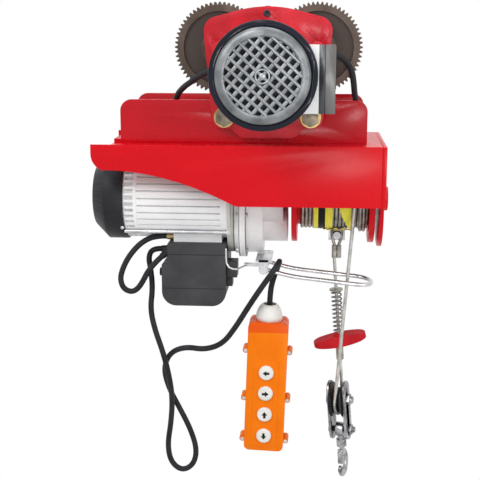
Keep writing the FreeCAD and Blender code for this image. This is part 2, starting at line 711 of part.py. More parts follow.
def make_trolley_drive():
    """Motor pinion, layshaft and output shaft, stacked along Y inside the gear case."""
    first = TROLLEY_CASE_FRONT + LOOSE_GAP + 4.0
    second = -PLATE_OUTER - LOOSE_GAP - TROLLEY_GEAR_FACE
    big = TROLLEY_WHEEL_TEETH
    small = TROLLEY_PINION_TEETH
    axis_place = (0, 0, PINION_Z)
    lay_place = (0, 0, TROLLEY_LAY_Z)

    def at(place, y):
        return (place[0], y, place[2])

    down = 180.0
    up = 0.0
    pinion = gear("Y", at(axis_place, first), small, TROLLEY_MODULE, TROLLEY_GEAR_FACE, down)
    rear_end = TROLLEY_SHELL_FRONT - 20.0
    shaft_length = first - rear_end
    shaft = rod("Y", (0, rear_end, PINION_Z), TROLLEY_SHAFT_RADIUS, TROLLEY_CASE_FRONT - rear_end)
    nose_radius = TROLLEY_MODULE * (small / 2 - DEDENDUM) - LOOSE_GAP
    nose = rod("Y", (0, rear_end, PINION_Z), nose_radius, shaft_length + TROLLEY_GEAR_FACE)
    rear_wall = TROLLEY_SHELL_FRONT
    fan = fan_wheel("Y", (0, rear_wall - 17.0, PINION_Z), TROLLEY_SHAFT_RADIUS, 58.0, 12.0)
    start, length = trolley_core()
    core = tube("Y", (0, start, PINION_Z), TROLLEY_ROTOR_RADIUS, TROLLEY_SHAFT_RADIUS, length)
    save("trolley_rotor", fused(shaft, nose, pinion), core, fan)

    lay_gear = gear("Y", at(lay_place, first), big, TROLLEY_MODULE, TROLLEY_GEAR_FACE, mesh_phase(big, up))
    lay_pinion = gear("Y", at(lay_place, second), small, TROLLEY_MODULE, TROLLEY_GEAR_FACE, up)
    lay_start = TROLLEY_CASE_FRONT - TROLLEY_WALL + LOOSE_GAP + 1.0
    lay_end = -PLATE_OUTER + TROLLEY_WALL
    lay_shaft = rod("Y", (0, lay_start, TROLLEY_LAY_Z), TROLLEY_LAY_SHAFT_RADIUS, lay_end - lay_start)
    save("trolley_layshaft", fused(lay_shaft, lay_gear, lay_pinion))

    out_gear = gear("Y", at(axis_place, second), big, TROLLEY_MODULE, TROLLEY_GEAR_FACE, mesh_phase(big, down))
    out_end = GEAR_INNER_Y + 2.0
    out_shaft = rod("Y", (0, second, PINION_Z), DRIVE_SHAFT_RADIUS, out_end - second)
    drive = gear("Y", (0, GEAR_OUTER_Y, PINION_Z), PINION_TEETH, GEAR_MODULE, GEAR_FACE, up)
    drive = drive.cut(rod("Y", (0, GEAR_OUTER_Y, PINION_Z), DRIVE_SHAFT_RADIUS, GEAR_FACE))
    save("drive_shaft", fused(out_shaft, out_gear), drive)


def trolley_core():
    """Start and length of the travel motor's laminated cores along Y."""
    overhang = 8.0
    start = TROLLEY_SHELL_FRONT + TROLLEY_WALL + overhang
    return start, TROLLEY_CASE_FRONT - TROLLEY_WALL - overhang - start


def make_trolley_motor():
    """Travel motor: finned housing with two end walls, stator, rotor, fan, shroud ring and grille."""
    rear_wall = TROLLEY_SHELL_FRONT
    flange_face = TROLLEY_CASE_FRONT - TROLLEY_WALL
    length = TROLLEY_CASE_FRONT - rear_wall
    shell = rod("Y", (0, rear_wall, PINION_Z), TROLLEY_SHELL_RADIUS, length)
    flange = rod("Y", (0, flange_face, PINION_Z), TROLLEY_CASE_RADIUS, TROLLEY_WALL)
    fins = []
    for k in range(TROLLEY_FIN_COUNT):
        fin_length = length - TROLLEY_WALL - 12.0
        fin = box(-1.3, 1.3, rear_wall, rear_wall + fin_length, 0, TROLLEY_FIN_RADIUS)
        fin.rotate(point(0, 0, 0), AXES["Y"], 360.0 * (k + 0.5) / TROLLEY_FIN_COUNT)
        fin.translate(point(0, 0, PINION_Z))
        fins.append(fin)
    pad = box(0, TERMINAL_PAD, TERMINAL_FRONT, TERMINAL_REAR, TERMINAL_BOTTOM, TERMINAL_TOP)
    housing = fused(shell, flange, pad, *fins)
    cavity = length - 2 * TROLLEY_WALL
    bore = TROLLEY_SHELL_RADIUS - TROLLEY_SHELL_WALL
    housing = housing.cut(rod("Y", (0, rear_wall + TROLLEY_WALL, PINION_Z), bore, cavity))
    housing = housing.cut(rod("Y", (0, rear_wall, PINION_Z), TROLLEY_BEARING_RADIUS, length))
    lay_seat = TROLLEY_LAY_SHAFT_RADIUS + RUN_FIT
    housing = housing.cut(rod("Y", (0, flange_face + 1.0, TROLLEY_LAY_Z), lay_seat, TROLLEY_WALL))
    for screw in trolley_screws(TROLLEY_SCREW_RADIUS, 0):
        housing = housing.cut(screw)
    save("trolley_motor_housing", housing)

    ring_length = rear_wall - TROLLEY_RING_FRONT
    ring_inner = TROLLEY_RING_RADIUS - TROLLEY_RING_WALL
    ring = tube("Y", (0, TROLLEY_RING_FRONT, PINION_Z), TROLLEY_RING_RADIUS, ring_inner, ring_length)
    lip_bore = GRILLE_RADIUS + LOOSE_GAP
    lip = tube("Y", (0, TROLLEY_RING_FRONT, PINION_Z), TROLLEY_RING_RADIUS, lip_bore, TROLLEY_RING_WALL)
    seat = tube("Y", (0, rear_wall - TROLLEY_RING_WALL, PINION_Z), TROLLEY_RING_RADIUS, bore, TROLLEY_RING_WALL)
    save("trolley_motor_ring", fused(ring, lip, seat))
    save("trolley_fan_grille", grille(ring_inner - LOOSE_GAP))

    base_wall = 3.0
    base = box(TERMINAL_PAD, TERMINAL_BASE, TERMINAL_FRONT, TERMINAL_REAR, TERMINAL_BOTTOM, TERMINAL_TOP)
    hollow = box(
        TERMINAL_PAD + base_wall, TERMINAL_RIGHT - base_wall, TERMINAL_FRONT + base_wall,
        TERMINAL_REAR - base_wall, TERMINAL_BOTTOM + base_wall, TERMINAL_TOP - base_wall,
    )
    lid = box(TERMINAL_BASE, TERMINAL_RIGHT, TERMINAL_FRONT, TERMINAL_REAR, TERMINAL_BOTTOM, TERMINAL_TOP)
    save("trolley_terminal_box", base.cut(hollow), lid.cut(hollow))


def fan_wheel(axis, origin, bore, radius, width):
    """Hub with a back disc and straight radial blades."""
    hub = rod("Z", (0, 0, 0), bore + 6.0, width)
    disc = rod("Z", (0, 0, width - 2.5), radius, 2.5)
    blades = []
    for k in range(FAN_BLADES):
        blade = box(bore + 3.0, radius, -1.2, 1.2, 0, width)
        blade.rotate(point(0, 0, 0), AXES["Z"], 360.0 * k / FAN_BLADES)
        blades.append(blade)
    wheel = fused(hub, disc, *blades).cut(rod("Z", (0, 0, 0), bore, width))
    return laid(wheel, axis, origin)


def grille(flange_radius):
    """Shallow cast cap with a lattice of square holes turned 45 degrees round a plain centre boss."""
    depth = TROLLEY_RING_FRONT - GRILLE_FRONT
    behind = TROLLEY_RING_WALL
    crown = 6.0
    flat = GRILLE_RADIUS - crown
    wall = GRILLE_WALL
    outer = [(0, 0), (flat, 0), (GRILLE_RADIUS, crown), (GRILLE_RADIUS, depth + behind)]
    rim = [(flange_radius, depth + behind), (flange_radius, depth + 2 * behind)]
    inner = [
        (GRILLE_RADIUS - wall, depth + 2 * behind), (GRILLE_RADIUS - wall, crown + wall), (flat - wall, wall), (0, wall),
    ]
    cap = revolved("Y", (0, GRILLE_FRONT, PINION_Z), outer + rim + inner)
    holes = []
    reach = int(GRILLE_FIELD_RADIUS / GRILLE_PITCH) + 1
    half = GRILLE_HOLE / 2
    boss_radius = 9.0
    for row in range(-reach, reach + 1):
        for column in range(-reach, reach + 1):
            u = row * GRILLE_PITCH
            v = column * GRILLE_PITCH
            if boss_radius + half < math.hypot(u, v) < GRILLE_FIELD_RADIUS:
                holes.append(box(u - half, u + half, 0, wall, v - half, v + half))
    pattern = Part.makeCompound(holes)
    pattern.rotate(point(0, 0, 0), AXES["Y"], 45.0)
    pattern.translate(point(0, GRILLE_FRONT, PINION_Z))
    boss = rod("Y", (0, GRILLE_FRONT - 1.0, PINION_Z), boss_radius, 1.0)
    return fused(cap.cut(pattern), boss)


def make_hanger():
    """Folded U bracket that hangs the hoist frame from the trolley's cross bolts."""
    outer = SIDE_PLATE_INNER
    corners = [
        (HANGER_LEFT, HANGER_BASE_TOP), (HANGER_LEFT, HANGER_TOP),
        (HANGER_RIGHT, HANGER_TOP), (HANGER_RIGHT, HANGER_BASE_TOP),
    ]
    outline = smooth_outline(corners, [0, HANGER_CORNER, HANGER_CORNER, 0])
    front = plate_xz(outline, -outer, -outer + HANGER_THICK)
    rear = plate_xz(outline, outer - HANGER_THICK, outer)
    base = box(HANGER_BASE_LEFT, HANGER_RIGHT, -outer, outer, FRAME_TOP, HANGER_BASE_TOP)
    hanger = fused(front, rear, base)
    hole_radius = CROSS_BOLT_RADIUS + BOLT_PLAY
    for side in (-1, 1):
        hanger = hanger.cut(rod("Y", (side * CROSS_BOLT_X, -outer, CROSS_BOLT_Z), hole_radius, 2 * outer))
    for x in FOOT_BOLT_X:
        for y in (-FOOT_BOLT_Y, FOOT_BOLT_Y):
            hanger = hanger.cut(rod("Z", (x, y, FRAME_TOP), FOOT_BOLT_RADIUS + BOLT_PLAY, HANGER_THICK))
    save("hanger_bracket", hanger)

    bolts = []
    washers = []
    nuts = []
    spacers = []
    washer = 3.0
    head = 10.0
    for side in (-1, 1):
        x = side * CROSS_BOLT_X
        face = PLATE_OUTER + washer
        shank = rod("Y", (x, -face, CROSS_BOLT_Z), CROSS_BOLT_RADIUS, 2 * face + head + 4.0)
        bolts.append(fused(shank, hexagon("Y", (x, -face - head, CROSS_BOLT_Z), 3 * CROSS_BOLT_RADIUS, head)))
        for start in (-face, PLATE_OUTER):
            place = (x, start, CROSS_BOLT_Z)
            washers.append(tube("Y", place, 2 * CROSS_BOLT_RADIUS, CROSS_BOLT_RADIUS + BOLT_PLAY, washer))
        nut = hexagon("Y", (x, face, CROSS_BOLT_Z), 3 * CROSS_BOLT_RADIUS, head)
        nuts.append(nut.cut(rod("Y", (x, face, CROSS_BOLT_Z), CROSS_BOLT_RADIUS, head)))
        inside = SIDE_PLATE_INNER - HANGER_THICK
        place = (x, -inside, CROSS_BOLT_Z)
        spacers.append(tube("Y", place, SPACER_RADIUS, CROSS_BOLT_RADIUS + BOLT_PLAY, 2 * inside))
    save("cross_bolts", *bolts, *nuts, *spacers)
    save("cross_bolt_washers", *washers)


def hanger_foot_bolts():
    """Bolts and nuts that clamp the hanger's base to the frame's top plate."""
    feet = []
    for x in FOOT_BOLT_X:
        for y in (-FOOT_BOLT_Y, FOOT_BOLT_Y):
            length = HANGER_THICK + FRAME_SHEET
            shank = rod("Z", (x, y, FRAME_UNDER), FOOT_BOLT_RADIUS, length)
            head_top = hexagon("Z", (x, y, HANGER_BASE_TOP), 3.2 * FOOT_BOLT_RADIUS, 6.0)
            nut = hexagon("Z", (x, y, FRAME_UNDER - 6.0), 3.2 * FOOT_BOLT_RADIUS, 6.0)
            feet.append(fused(shank, head_top, nut))
    return feet


def apron_outline():
    """Apron edge: rounded left tip, a long curve under the motor, then a straight lower edge."""
    curve = [point(x, 0, z) for x, z in zip(APRON_CURVE_X, APRON_CURVE_Z)]
    spline = Part.BSplineCurve()
    spline.interpolate(curve)
    top_left = point(FRAME_LEFT, 0, FRAME_TOP)
    tip = point(FRAME_LEFT, 0, FRAME_TOP - 14.0)
    bow = point(FRAME_LEFT + 4.5, 0, FRAME_TOP - 30.0)
    low_left = point(APRON_CURVE_X[-1] + 8.0, 0, APRON_BOTTOM)
    low_right = point(FRAME_RIGHT, 0, APRON_BOTTOM)
    top_right = point(FRAME_RIGHT, 0, FRAME_TOP)
    edges = [
        Part.LineSegment(top_left, tip).toShape(),
        Part.Arc(tip, bow, curve[0]).toShape(),
        spline.toShape(),
        Part.LineSegment(curve[-1], low_left).toShape(),
        Part.LineSegment(low_left, low_right).toShape(),
        Part.LineSegment(low_right, top_right).toShape(),
        Part.LineSegment(top_right, top_left).toShape(),
    ]
    return edges


def make_frame():
    """Folded sheet frame: top plate with a front and a rear apron, and the drum's end plate."""
    depth = FRAME_HALF_DEPTH
    top = box(HANGER_BASE_LEFT, FRAME_RIGHT, -depth, depth, FRAME_UNDER, FRAME_TOP)
    front = plate_xz(apron_outline(), -depth, -depth + FRAME_SHEET)
    rear = plate_xz(apron_outline(), depth - FRAME_SHEET, depth)
    frame = fused(top, front, rear)
    for x in FOOT_BOLT_X:
        for y in (-FOOT_BOLT_Y, FOOT_BOLT_Y):
            frame = frame.cut(rod("Z", (x, y, FRAME_UNDER), FOOT_BOLT_RADIUS + BOLT_PLAY, FRAME_SHEET))
    for x, y in gearbox_pad_bolts():
        frame = frame.cut(rod("Z", (x, y, FRAME_UNDER), FOOT_BOLT_RADIUS + BOLT_PLAY, FRAME_SHEET))
    save("hoist_frame", frame)

    inner = depth
    corners = [
        (-inner, FRAME_TOP), (-inner, APRON_BOTTOM), (-END_PLATE_RADIUS, APRON_BOTTOM),
        (-END_PLATE_RADIUS, HOIST_AXIS_Z - END_PLATE_RADIUS), (END_PLATE_RADIUS, HOIST_AXIS_Z - END_PLATE_RADIUS),
        (END_PLATE_RADIUS, APRON_BOTTOM), (inner, APRON_BOTTOM), (inner, FRAME_TOP),
    ]
    round_end = END_PLATE_RADIUS - 6.0
    edges = smooth_outline(corners, [0, 0, 0, round_end, round_end, 0, 0, 0], "YZ")
    plate = Part.Face(Part.Wire(edges)).extrude(point(END_PLATE_THICK, 0, 0))
    plate.translate(point(FRAME_RIGHT, 0, 0))
    boss_length = END_BOSS_RIGHT - FRAME_RIGHT
    plate = fused(plate, rod("X", (FRAME_RIGHT, 0, HOIST_AXIS_Z), END_BOSS_RADIUS + 3.0, boss_length))
    plate = plate.cut(rod("X", (FRAME_RIGHT, 0, HOIST_AXIS_Z), END_BEARING_RADIUS, boss_length - 3.0))
    save("drum_end_plate", plate)


def end_journal():
    return OUTPUT_SHAFT_RADIUS - 3.0


def gearbox_pad_bolts():
    """Places of the four bolts that hang the gearbox from the frame's top plate."""
    inset = 10.0
    xs = (GEARBOX_JOINT_X + inset, GEARBOX_RIGHT - inset)
    ys = (-GEARBOX_PAD_HALF_DEPTH + inset, GEARBOX_PAD_HALF_DEPTH - inset)
    return [(x, y) for x in xs for y in ys]


def on_circle(radius, angle_degrees):
    """Place in the YZ plane at an angle from +Y towards +Z about the hoisting axis."""
    angle = math.radians(angle_degrees)
    return radius * math.cos(angle), HOIST_AXIS_Z + radius * math.sin(angle)


def make_hoist_motor():
    """Hoisting motor: fan cover, end ring, finned housing, stator, rotor, fan and tie rods."""
    length = FAN_COVER_RIGHT - FAN_COVER_LEFT
    wall = FAN_COVER_WALL
    rim = FAN_COVER_RADIUS - FAN_COVER_CHAMFER
    outer = [(0, 0), (rim, 0), (FAN_COVER_RADIUS, FAN_COVER_CHAMFER), (FAN_COVER_RADIUS, length)]
    bore = FAN_COVER_RADIUS - wall
    inner = [(bore, length), (bore, FAN_COVER_CHAMFER + wall / 2), (rim - wall / 2, wall), (0, wall)]
    cover = revolved("X", (FAN_COVER_LEFT, 0, HOIST_AXIS_Z), outer + inner)
    slots = []
    for k in range(16):
        slot = box(FAN_COVER_LEFT, FAN_COVER_LEFT + wall, 16.0, rim - 8.0, -2.0, 2.0)
        slot.rotate(point(0, 0, 0), AXES["X"], 360.0 * k / 16)
        slot.translate(point(0, 0, HOIST_AXIS_Z))
        slots.append(slot)
    save("hoist_fan_cover", cover.cut(slots))

    ring_length = END_RING_RIGHT - FAN_COVER_RIGHT
    wall_left = END_RING_RIGHT - 9.0
    bearing_seat = ROTOR_SHAFT_RADIUS + 10.0
    ring = rod("X", (FAN_COVER_RIGHT, 0, HOIST_AXIS_Z), END_RING_RADIUS, ring_length)
    ears = []
    for angle in TIE_ROD_ANGLES:
        y, z = on_circle(TIE_ROD_CIRCLE, angle)
        ears.append(rod("X", (FAN_COVER_RIGHT, y, z), 2 * TIE_ROD_RADIUS, ring_length))
    ring = fused(ring, *ears)
    ring = ring.cut(rod("X", (FAN_COVER_RIGHT, 0, HOIST_AXIS_Z), END_RING_RADIUS - 8.0, wall_left - FAN_COVER_RIGHT))
    ring = ring.cut(rod("X", (wall_left, 0, HOIST_AXIS_Z), bearing_seat, END_RING_RIGHT - wall_left))
    for angle in TIE_ROD_ANGLES:
        y, z = on_circle(TIE_ROD_CIRCLE, angle)
        ring = ring.cut(rod("X", (FAN_COVER_RIGHT, y, z), TIE_ROD_RADIUS, ring_length))
    save("hoist_motor_end_ring", ring)

    shell_length = MOTOR_FLANGE_RIGHT - END_RING_RIGHT
    shell = rod("X", (END_RING_RIGHT, 0, HOIST_AXIS_Z), MOTOR_SHELL_RADIUS, shell_length)
    flange_length = MOTOR_FLANGE_RIGHT - MOTOR_RIGHT
    flange = rod("X", (MOTOR_RIGHT, 0, HOIST_AXIS_Z), MOTOR_FIN_RADIUS, flange_length)
    fins = []
    for k in range(MOTOR_FIN_COUNT):
        half = MOTOR_FIN_THICK / 2
        fin = box(END_RING_RIGHT, MOTOR_RIGHT, -half, half, 0, MOTOR_FIN_RADIUS)
        fin.rotate(point(0, 0, 0), AXES["X"], 360.0 * (k + 0.5) / MOTOR_FIN_COUNT)
        fin.translate(point(0, 0, HOIST_AXIS_Z))
        fins.append(fin)
    depth = MOTOR_FOOT_HALF_DEPTH
    foot = box(MOTOR_FOOT_LEFT, MOTOR_RIGHT, -depth, depth, MOTOR_FOOT_BOTTOM, HOIST_AXIS_Z)
    lead_pocket = box(
        MOTOR_FOOT_LEFT - LEAD_POCKET_LENGTH, MOTOR_FOOT_LEFT, LEAD_EXIT_Y - LEAD_POCKET_HALF,
        LEAD_EXIT_Y + LEAD_POCKET_HALF, MOTOR_FOOT_BOTTOM, LEAD_EXIT_Z + GLAND_RADIUS + 1.0,
    )
    fins = [fin.cut(lead_pocket) for fin in fins]
    housing = fused(shell, flange, foot, *fins)
    stator_radius = MOTOR_SHELL_RADIUS - MOTOR_SHELL_WALL
    housing = housing.cut(rod("X", (END_RING_RIGHT, 0, HOIST_AXIS_Z), stator_radius, shell_length))
    for angle in TIE_ROD_ANGLES:
        y, z = on_circle(TIE_ROD_CIRCLE, angle)
        housing = housing.cut(rod("X", (END_RING_RIGHT, y, z), TIE_ROD_RADIUS + BOLT_PLAY, shell_length))
    save("hoist_motor_housing", housing)

    core_length = STATOR_RIGHT - STATOR_LEFT
    core_place = (STATOR_LEFT, 0, HOIST_AXIS_Z)
    hoist_stator = tube("X", core_place, stator_radius, STATOR_INNER_RADIUS, core_length)
    start, length = trolley_core()
    trolley_bore = TROLLEY_SHELL_RADIUS - TROLLEY_SHELL_WALL
    trolley_stator = tube("Y", (0, start, PINION_Z), trolley_bore, TROLLEY_ROTOR_RADIUS + ROTOR_GAP, length)
    save("stator_cores", hoist_stator, trolley_stator)
    rotor_radius = STATOR_INNER_RADIUS - ROTOR_GAP
    core = tube("X", core_place, rotor_radius, ROTOR_SHAFT_RADIUS, core_length)

    shaft_left = FAN_COVER_LEFT + 14.0
    bearing_right = MOTOR_FLANGE_RIGHT + GEARBOX_WALL
    shaft = rod("X", (shaft_left, 0, HOIST_AXIS_Z), ROTOR_SHAFT_RADIUS, bearing_right - shaft_left)
    pinion_place = (FIRST_GEAR_X, 0, HOIST_AXIS_Z)
    pinion = gear("X", pinion_place, HOIST_PINION_TEETH, HOIST_MODULE, HOIST_GEAR_FACE, -90.0)
    nose_radius = HOIST_MODULE * (HOIST_PINION_TEETH / 2 - DEDENDUM) - SOFT_GAP
    nose_length = FIRST_GEAR_X + HOIST_GEAR_FACE - shaft_left
    nose = rod("X", (shaft_left, 0, HOIST_AXIS_Z), nose_radius, nose_length)
    fan = fan_wheel("X", (shaft_left + 8.0, 0, HOIST_AXIS_Z), ROTOR_SHAFT_RADIUS, FAN_RADIUS, 22.0)
    save("hoist_rotor", fused(shaft, nose, pinion), core, fan)

    rods = []
    for angle in TIE_ROD_ANGLES:
        y, z = on_circle(TIE_ROD_CIRCLE, angle)
        rods.append(rod("X", (FAN_COVER_RIGHT, y, z), TIE_ROD_RADIUS, MOTOR_FLANGE_RIGHT + GEARBOX_WALL - FAN_COVER_RIGHT))
    save("motor_tie_rods", *rods)


def pear(x0, x1, radius):
    """Two round ends, at the hoisting axis and at the layshaft, joined by straight sides."""
    top = rod("X", (x0, 0, HOIST_AXIS_Z), radius, x1 - x0)
    low = rod("X", (x0, 0, LAY_Z), radius, x1 - x0)
    middle = box(x0, x1, -radius, radius, LAY_Z, HOIST_AXIS_Z)
    return fused(top, low, middle)


def gearbox_bolt_places():
    side = GEARBOX_FLANGE_RADIUS - 4.0
    return [(sign * y, z) for sign in (-1, 1) for y, z in ((side, -180.0), (side, -223.0), (33.0, -286.0))]


def make_gearbox():
    """Two die-cast halves bolted at a flange, hung from the frame by a pad on the drum-side half."""
    lay_seat = LAY_SHAFT_RADIUS + RUN_FIT
    wall = GEARBOX_WALL
    left = MOTOR_FLANGE_RIGHT
    joint = GEARBOX_JOINT_X
    bolt_radius = CASING_BOLT_RADIUS
    motor_side = fused(
        pear(left, joint, GEARBOX_RADIUS), pear(joint - wall, joint, GEARBOX_FLANGE_RADIUS),
        rod("X", (left, 0, HOIST_AXIS_Z), MOTOR_FIN_RADIUS, wall),
    )
    ears = []
    for angle in TIE_ROD_ANGLES:
        y, z = on_circle(TIE_ROD_CIRCLE, angle)
        ears.append(rod("X", (left, y, z), 2 * TIE_ROD_RADIUS, wall))
    motor_side = fused(motor_side, *ears)
    motor_side = motor_side.cut(pear(left + wall, joint, GEARBOX_RADIUS - wall))
    motor_side = motor_side.cut(rod("X", (left, 0, HOIST_AXIS_Z), ROTOR_SHAFT_RADIUS + 10.0, wall))
    motor_side = motor_side.cut(rod("X", (left + 1.0, 0, LAY_Z), lay_seat, wall))
    for angle in TIE_ROD_ANGLES:
        y, z = on_circle(TIE_ROD_CIRCLE, angle)
        motor_side = motor_side.cut(rod("X", (left, y, z), TIE_ROD_RADIUS, wall))
    for y, z in gearbox_bolt_places():
        motor_side = motor_side.cut(rod("X", (joint - wall, y, z), bolt_radius, wall))
    save("gearbox_motor_side", motor_side)

    right = GEARBOX_RIGHT
    pad_depth = GEARBOX_PAD_HALF_DEPTH
    cover = fused(
        pear(joint, right, GEARBOX_RADIUS), pear(joint, joint + wall, GEARBOX_FLANGE_RADIUS),
        box(joint, right, -pad_depth, pad_depth, HOIST_AXIS_Z, FRAME_UNDER),
        rod("X", (right - wall, 0, HOIST_AXIS_Z), OUTPUT_BOSS_RADIUS, OUTPUT_BOSS_RIGHT - right + wall),
        rod("X", (right - wall, 0, LAY_Z), LAY_BOSS_RADIUS, LAY_BOSS_RIGHT - right + wall),
        box(ARM_PIVOT_X - ARM_WEB_HALF, right, -ARM_WEB_HALF, ARM_WEB_HALF, LAY_Z - GEARBOX_RADIUS, LAY_Z),
    )
    cover = cover.cut(pear(joint, right - wall, GEARBOX_RADIUS - wall))
    boss_length = OUTPUT_BOSS_RIGHT - right + wall
    cover = cover.cut(rod("X", (right - wall, 0, HOIST_AXIS_Z), OUTPUT_BEARING_RADIUS, boss_length))
    cover = cover.cut(rod("X", (right - wall, 0, LAY_Z), lay_seat, 2 * wall + LOOSE_GAP))
    for y, z in gearbox_bolt_places():
        cover = cover.cut(rod("X", (joint, y, z), bolt_radius, wall))
    for x, y in gearbox_pad_bolts():
        cover = cover.cut(rod("Z", (x, y, FRAME_UNDER - 20.0), FOOT_BOLT_RADIUS, 20.0))
    save("gearbox_drum_side", cover)

    bolts = hanger_foot_bolts()
    for y, z in gearbox_bolt_places():
        shank = rod("X", (joint - wall, y, z), bolt_radius, 2 * wall)
        head = hexagon("X", (joint - wall - 4.0, y, z), CASING_BOLT_ACROSS, 4.0)
        nut = hexagon("X", (joint + wall, y, z), CASING_BOLT_ACROSS, 4.0)
        bolts.append(fused(shank, head, nut))
    for x, y in gearbox_pad_bolts():
        bolts.append(rod("Z", (x, y, FRAME_UNDER - 20.0), FOOT_BOLT_RADIUS, 20.0 + FRAME_SHEET))
    save("hoist_bolts", *bolts)

    lay_gear = gear(
        "X", (FIRST_GEAR_X, 0, LAY_Z), HOIST_WHEEL_TEETH, HOIST_MODULE, HOIST_GEAR_FACE,
        mesh_phase(HOIST_WHEEL_TEETH, 90.0),
    )
    lay_pinion = gear("X", (SECOND_GEAR_X, 0, LAY_Z), HOIST_PINION_TEETH, HOIST_MODULE, HOIST_GEAR_FACE, 90.0)
    lay_left = left + 1.0 + LOOSE_GAP
    lay_right = right + wall
    core = HOIST_MODULE * (HOIST_PINION_TEETH / 2 - DEDENDUM) - SOFT_GAP
    lay_shaft = fused(
        rod("X", (lay_left, 0, LAY_Z), core, lay_right - lay_left),
        rod("X", (lay_left, 0, LAY_Z), LAY_SHAFT_RADIUS, FIRST_GEAR_X - lay_left),
        rod("X", (right - wall, 0, LAY_Z), LAY_SHAFT_RADIUS, lay_right - right + wall),
    )
    save("hoist_layshaft", fused(lay_shaft, lay_gear, lay_pinion))


def make_drum():
    """Rope drum keyed to its shaft, with the wound rope and a paper band round it."""
    length = DRUM_RIGHT - DRUM_LEFT
    inner_left = DRUM_LEFT + DRUM_FLANGE_THICK
    inner_right = DRUM_RIGHT - DRUM_FLANGE_THICK
    barrel = rod("X", (DRUM_LEFT, 0, HOIST_AXIS_Z), DRUM_CORE_RADIUS, length)
    flanges = [
        rod("X", (x, 0, HOIST_AXIS_Z), DRUM_FLANGE_RADIUS, DRUM_FLANGE_THICK) for x in (DRUM_LEFT, inner_right)
    ]
    hollow_radius = DRUM_CORE_RADIUS - DRUM_WALL
    hollow = rod("X", (inner_left, 0, HOIST_AXIS_Z), hollow_radius, inner_right - inner_left)
    drum = fused(barrel, *flanges).cut(hollow)
    save("rope_drum", drum.cut(rod("X", (DRUM_LEFT, 0, HOIST_AXIS_Z), OUTPUT_SHAFT_RADIUS, length)))

    place = (SECOND_GEAR_X, 0, HOIST_AXIS_Z)
    phase = mesh_phase(HOIST_WHEEL_TEETH, -90.0)
    output = gear("X", place, HOIST_WHEEL_TEETH, HOIST_MODULE, HOIST_GEAR_FACE, phase)
    shoulder = FRAME_RIGHT - LOOSE_GAP
    shaft = rod("X", place, OUTPUT_SHAFT_RADIUS, shoulder - SECOND_GEAR_X)
    journal = rod("X", (shoulder, 0, HOIST_AXIS_Z), end_journal(), END_BOSS_RIGHT - 5.0 - shoulder)
    save("drum_shaft", fused(output, shaft, journal))

    width = inner_right - inner_left
    wound = tube("X", (inner_left, 0, HOIST_AXIS_Z), WOUND_RADIUS, DRUM_CORE_RADIUS, width)
    second_place = (SECOND_LAYER_LEFT, 0, HOIST_AXIS_Z)
    second_radius = WOUND_RADIUS + SECOND_LAYER_STEP
    second = tube("X", second_place, second_radius, DRUM_CORE_RADIUS, inner_right - SECOND_LAYER_LEFT)
    save("wound_rope", fused(wound, second))


def make_bearings():
    """Bearings of both motors, the gear cases and the drum's far end, and the travel drive's bush."""
    hoist_seat = ROTOR_SHAFT_RADIUS + 10.0
    hoist_bore = ROTOR_SHAFT_RADIUS + RUN_FIT
    wall_left = END_RING_RIGHT - 9.0
    rings = [drive_bush()]
    for x, width in ((wall_left, END_RING_RIGHT - wall_left), (MOTOR_FLANGE_RIGHT, GEARBOX_WALL)):
        rings.append(tube("X", (x, 0, HOIST_AXIS_Z), hoist_seat, hoist_bore, width))
    trolley_bore = TROLLEY_SHAFT_RADIUS + RUN_FIT
    for y in (TROLLEY_SHELL_FRONT, TROLLEY_CASE_FRONT - TROLLEY_WALL):
        rings.append(tube("Y", (0, y, PINION_Z), TROLLEY_BEARING_RADIUS, trolley_bore, TROLLEY_WALL))
    start = GEARBOX_RIGHT - GEARBOX_WALL + 2.0
    output_bore = OUTPUT_SHAFT_RADIUS + RUN_FIT
    length = OUTPUT_BOSS_RIGHT - start
    rings.append(tube("X", (start, 0, HOIST_AXIS_Z), OUTPUT_BEARING_RADIUS, output_bore, length))
    end_bore = end_journal() + RUN_FIT
    end_length = END_BOSS_RIGHT - FRAME_RIGHT - 4.0
    rings.append(tube("X", (FRAME_RIGHT, 0, HOIST_AXIS_Z), END_BEARING_RADIUS, end_bore, end_length))
    save("shaft_bearings", *rings)


def block_place():
    """Placement of the hook block, which hangs turned and leaning about the sheave's centre."""
    lean = FreeCAD.Rotation(AXES["Y"], -BLOCK_LEAN)
    turn = FreeCAD.Rotation(AXES["Z"], -BLOCK_TURN)
    return FreeCAD.Placement(point(SHEAVE_X, SHEAVE_Y, SHEAVE_Z), lean.multiply(turn))


def rope_end_at_sheave():
    """Where the anchored fall meets the back of the sheave."""
    return block_place().multVec(point(0, SHEAVE_ROPE_RADIUS, 0))


def anchored_line():
    """Start and unit direction, downwards, of the anchored rope fall."""
    start = point(ANCHOR_X, ANCHOR_Y, FERRULE_BOTTOM)
    aim = rope_end_at_sheave() - start
    return start, aim.normalize()


def along_fall(shape, height):
    """Put a shape drawn about local Z on the anchored fall, at the given height."""
    start, aim = anchored_line()
    place = start + aim * ((height - start.z) / aim.z)
    placed = shape.copy()
    turn = FreeCAD.Rotation(AXES["Z"], aim * -1)
    placed.Placement = FreeCAD.Placement(place, turn).multiply(placed.Placement)
    return placed


def straight_rope(start, end):
    aim = end - start
    return Part.makeCylinder(ROPE_RADIUS, aim.Length, start, aim)


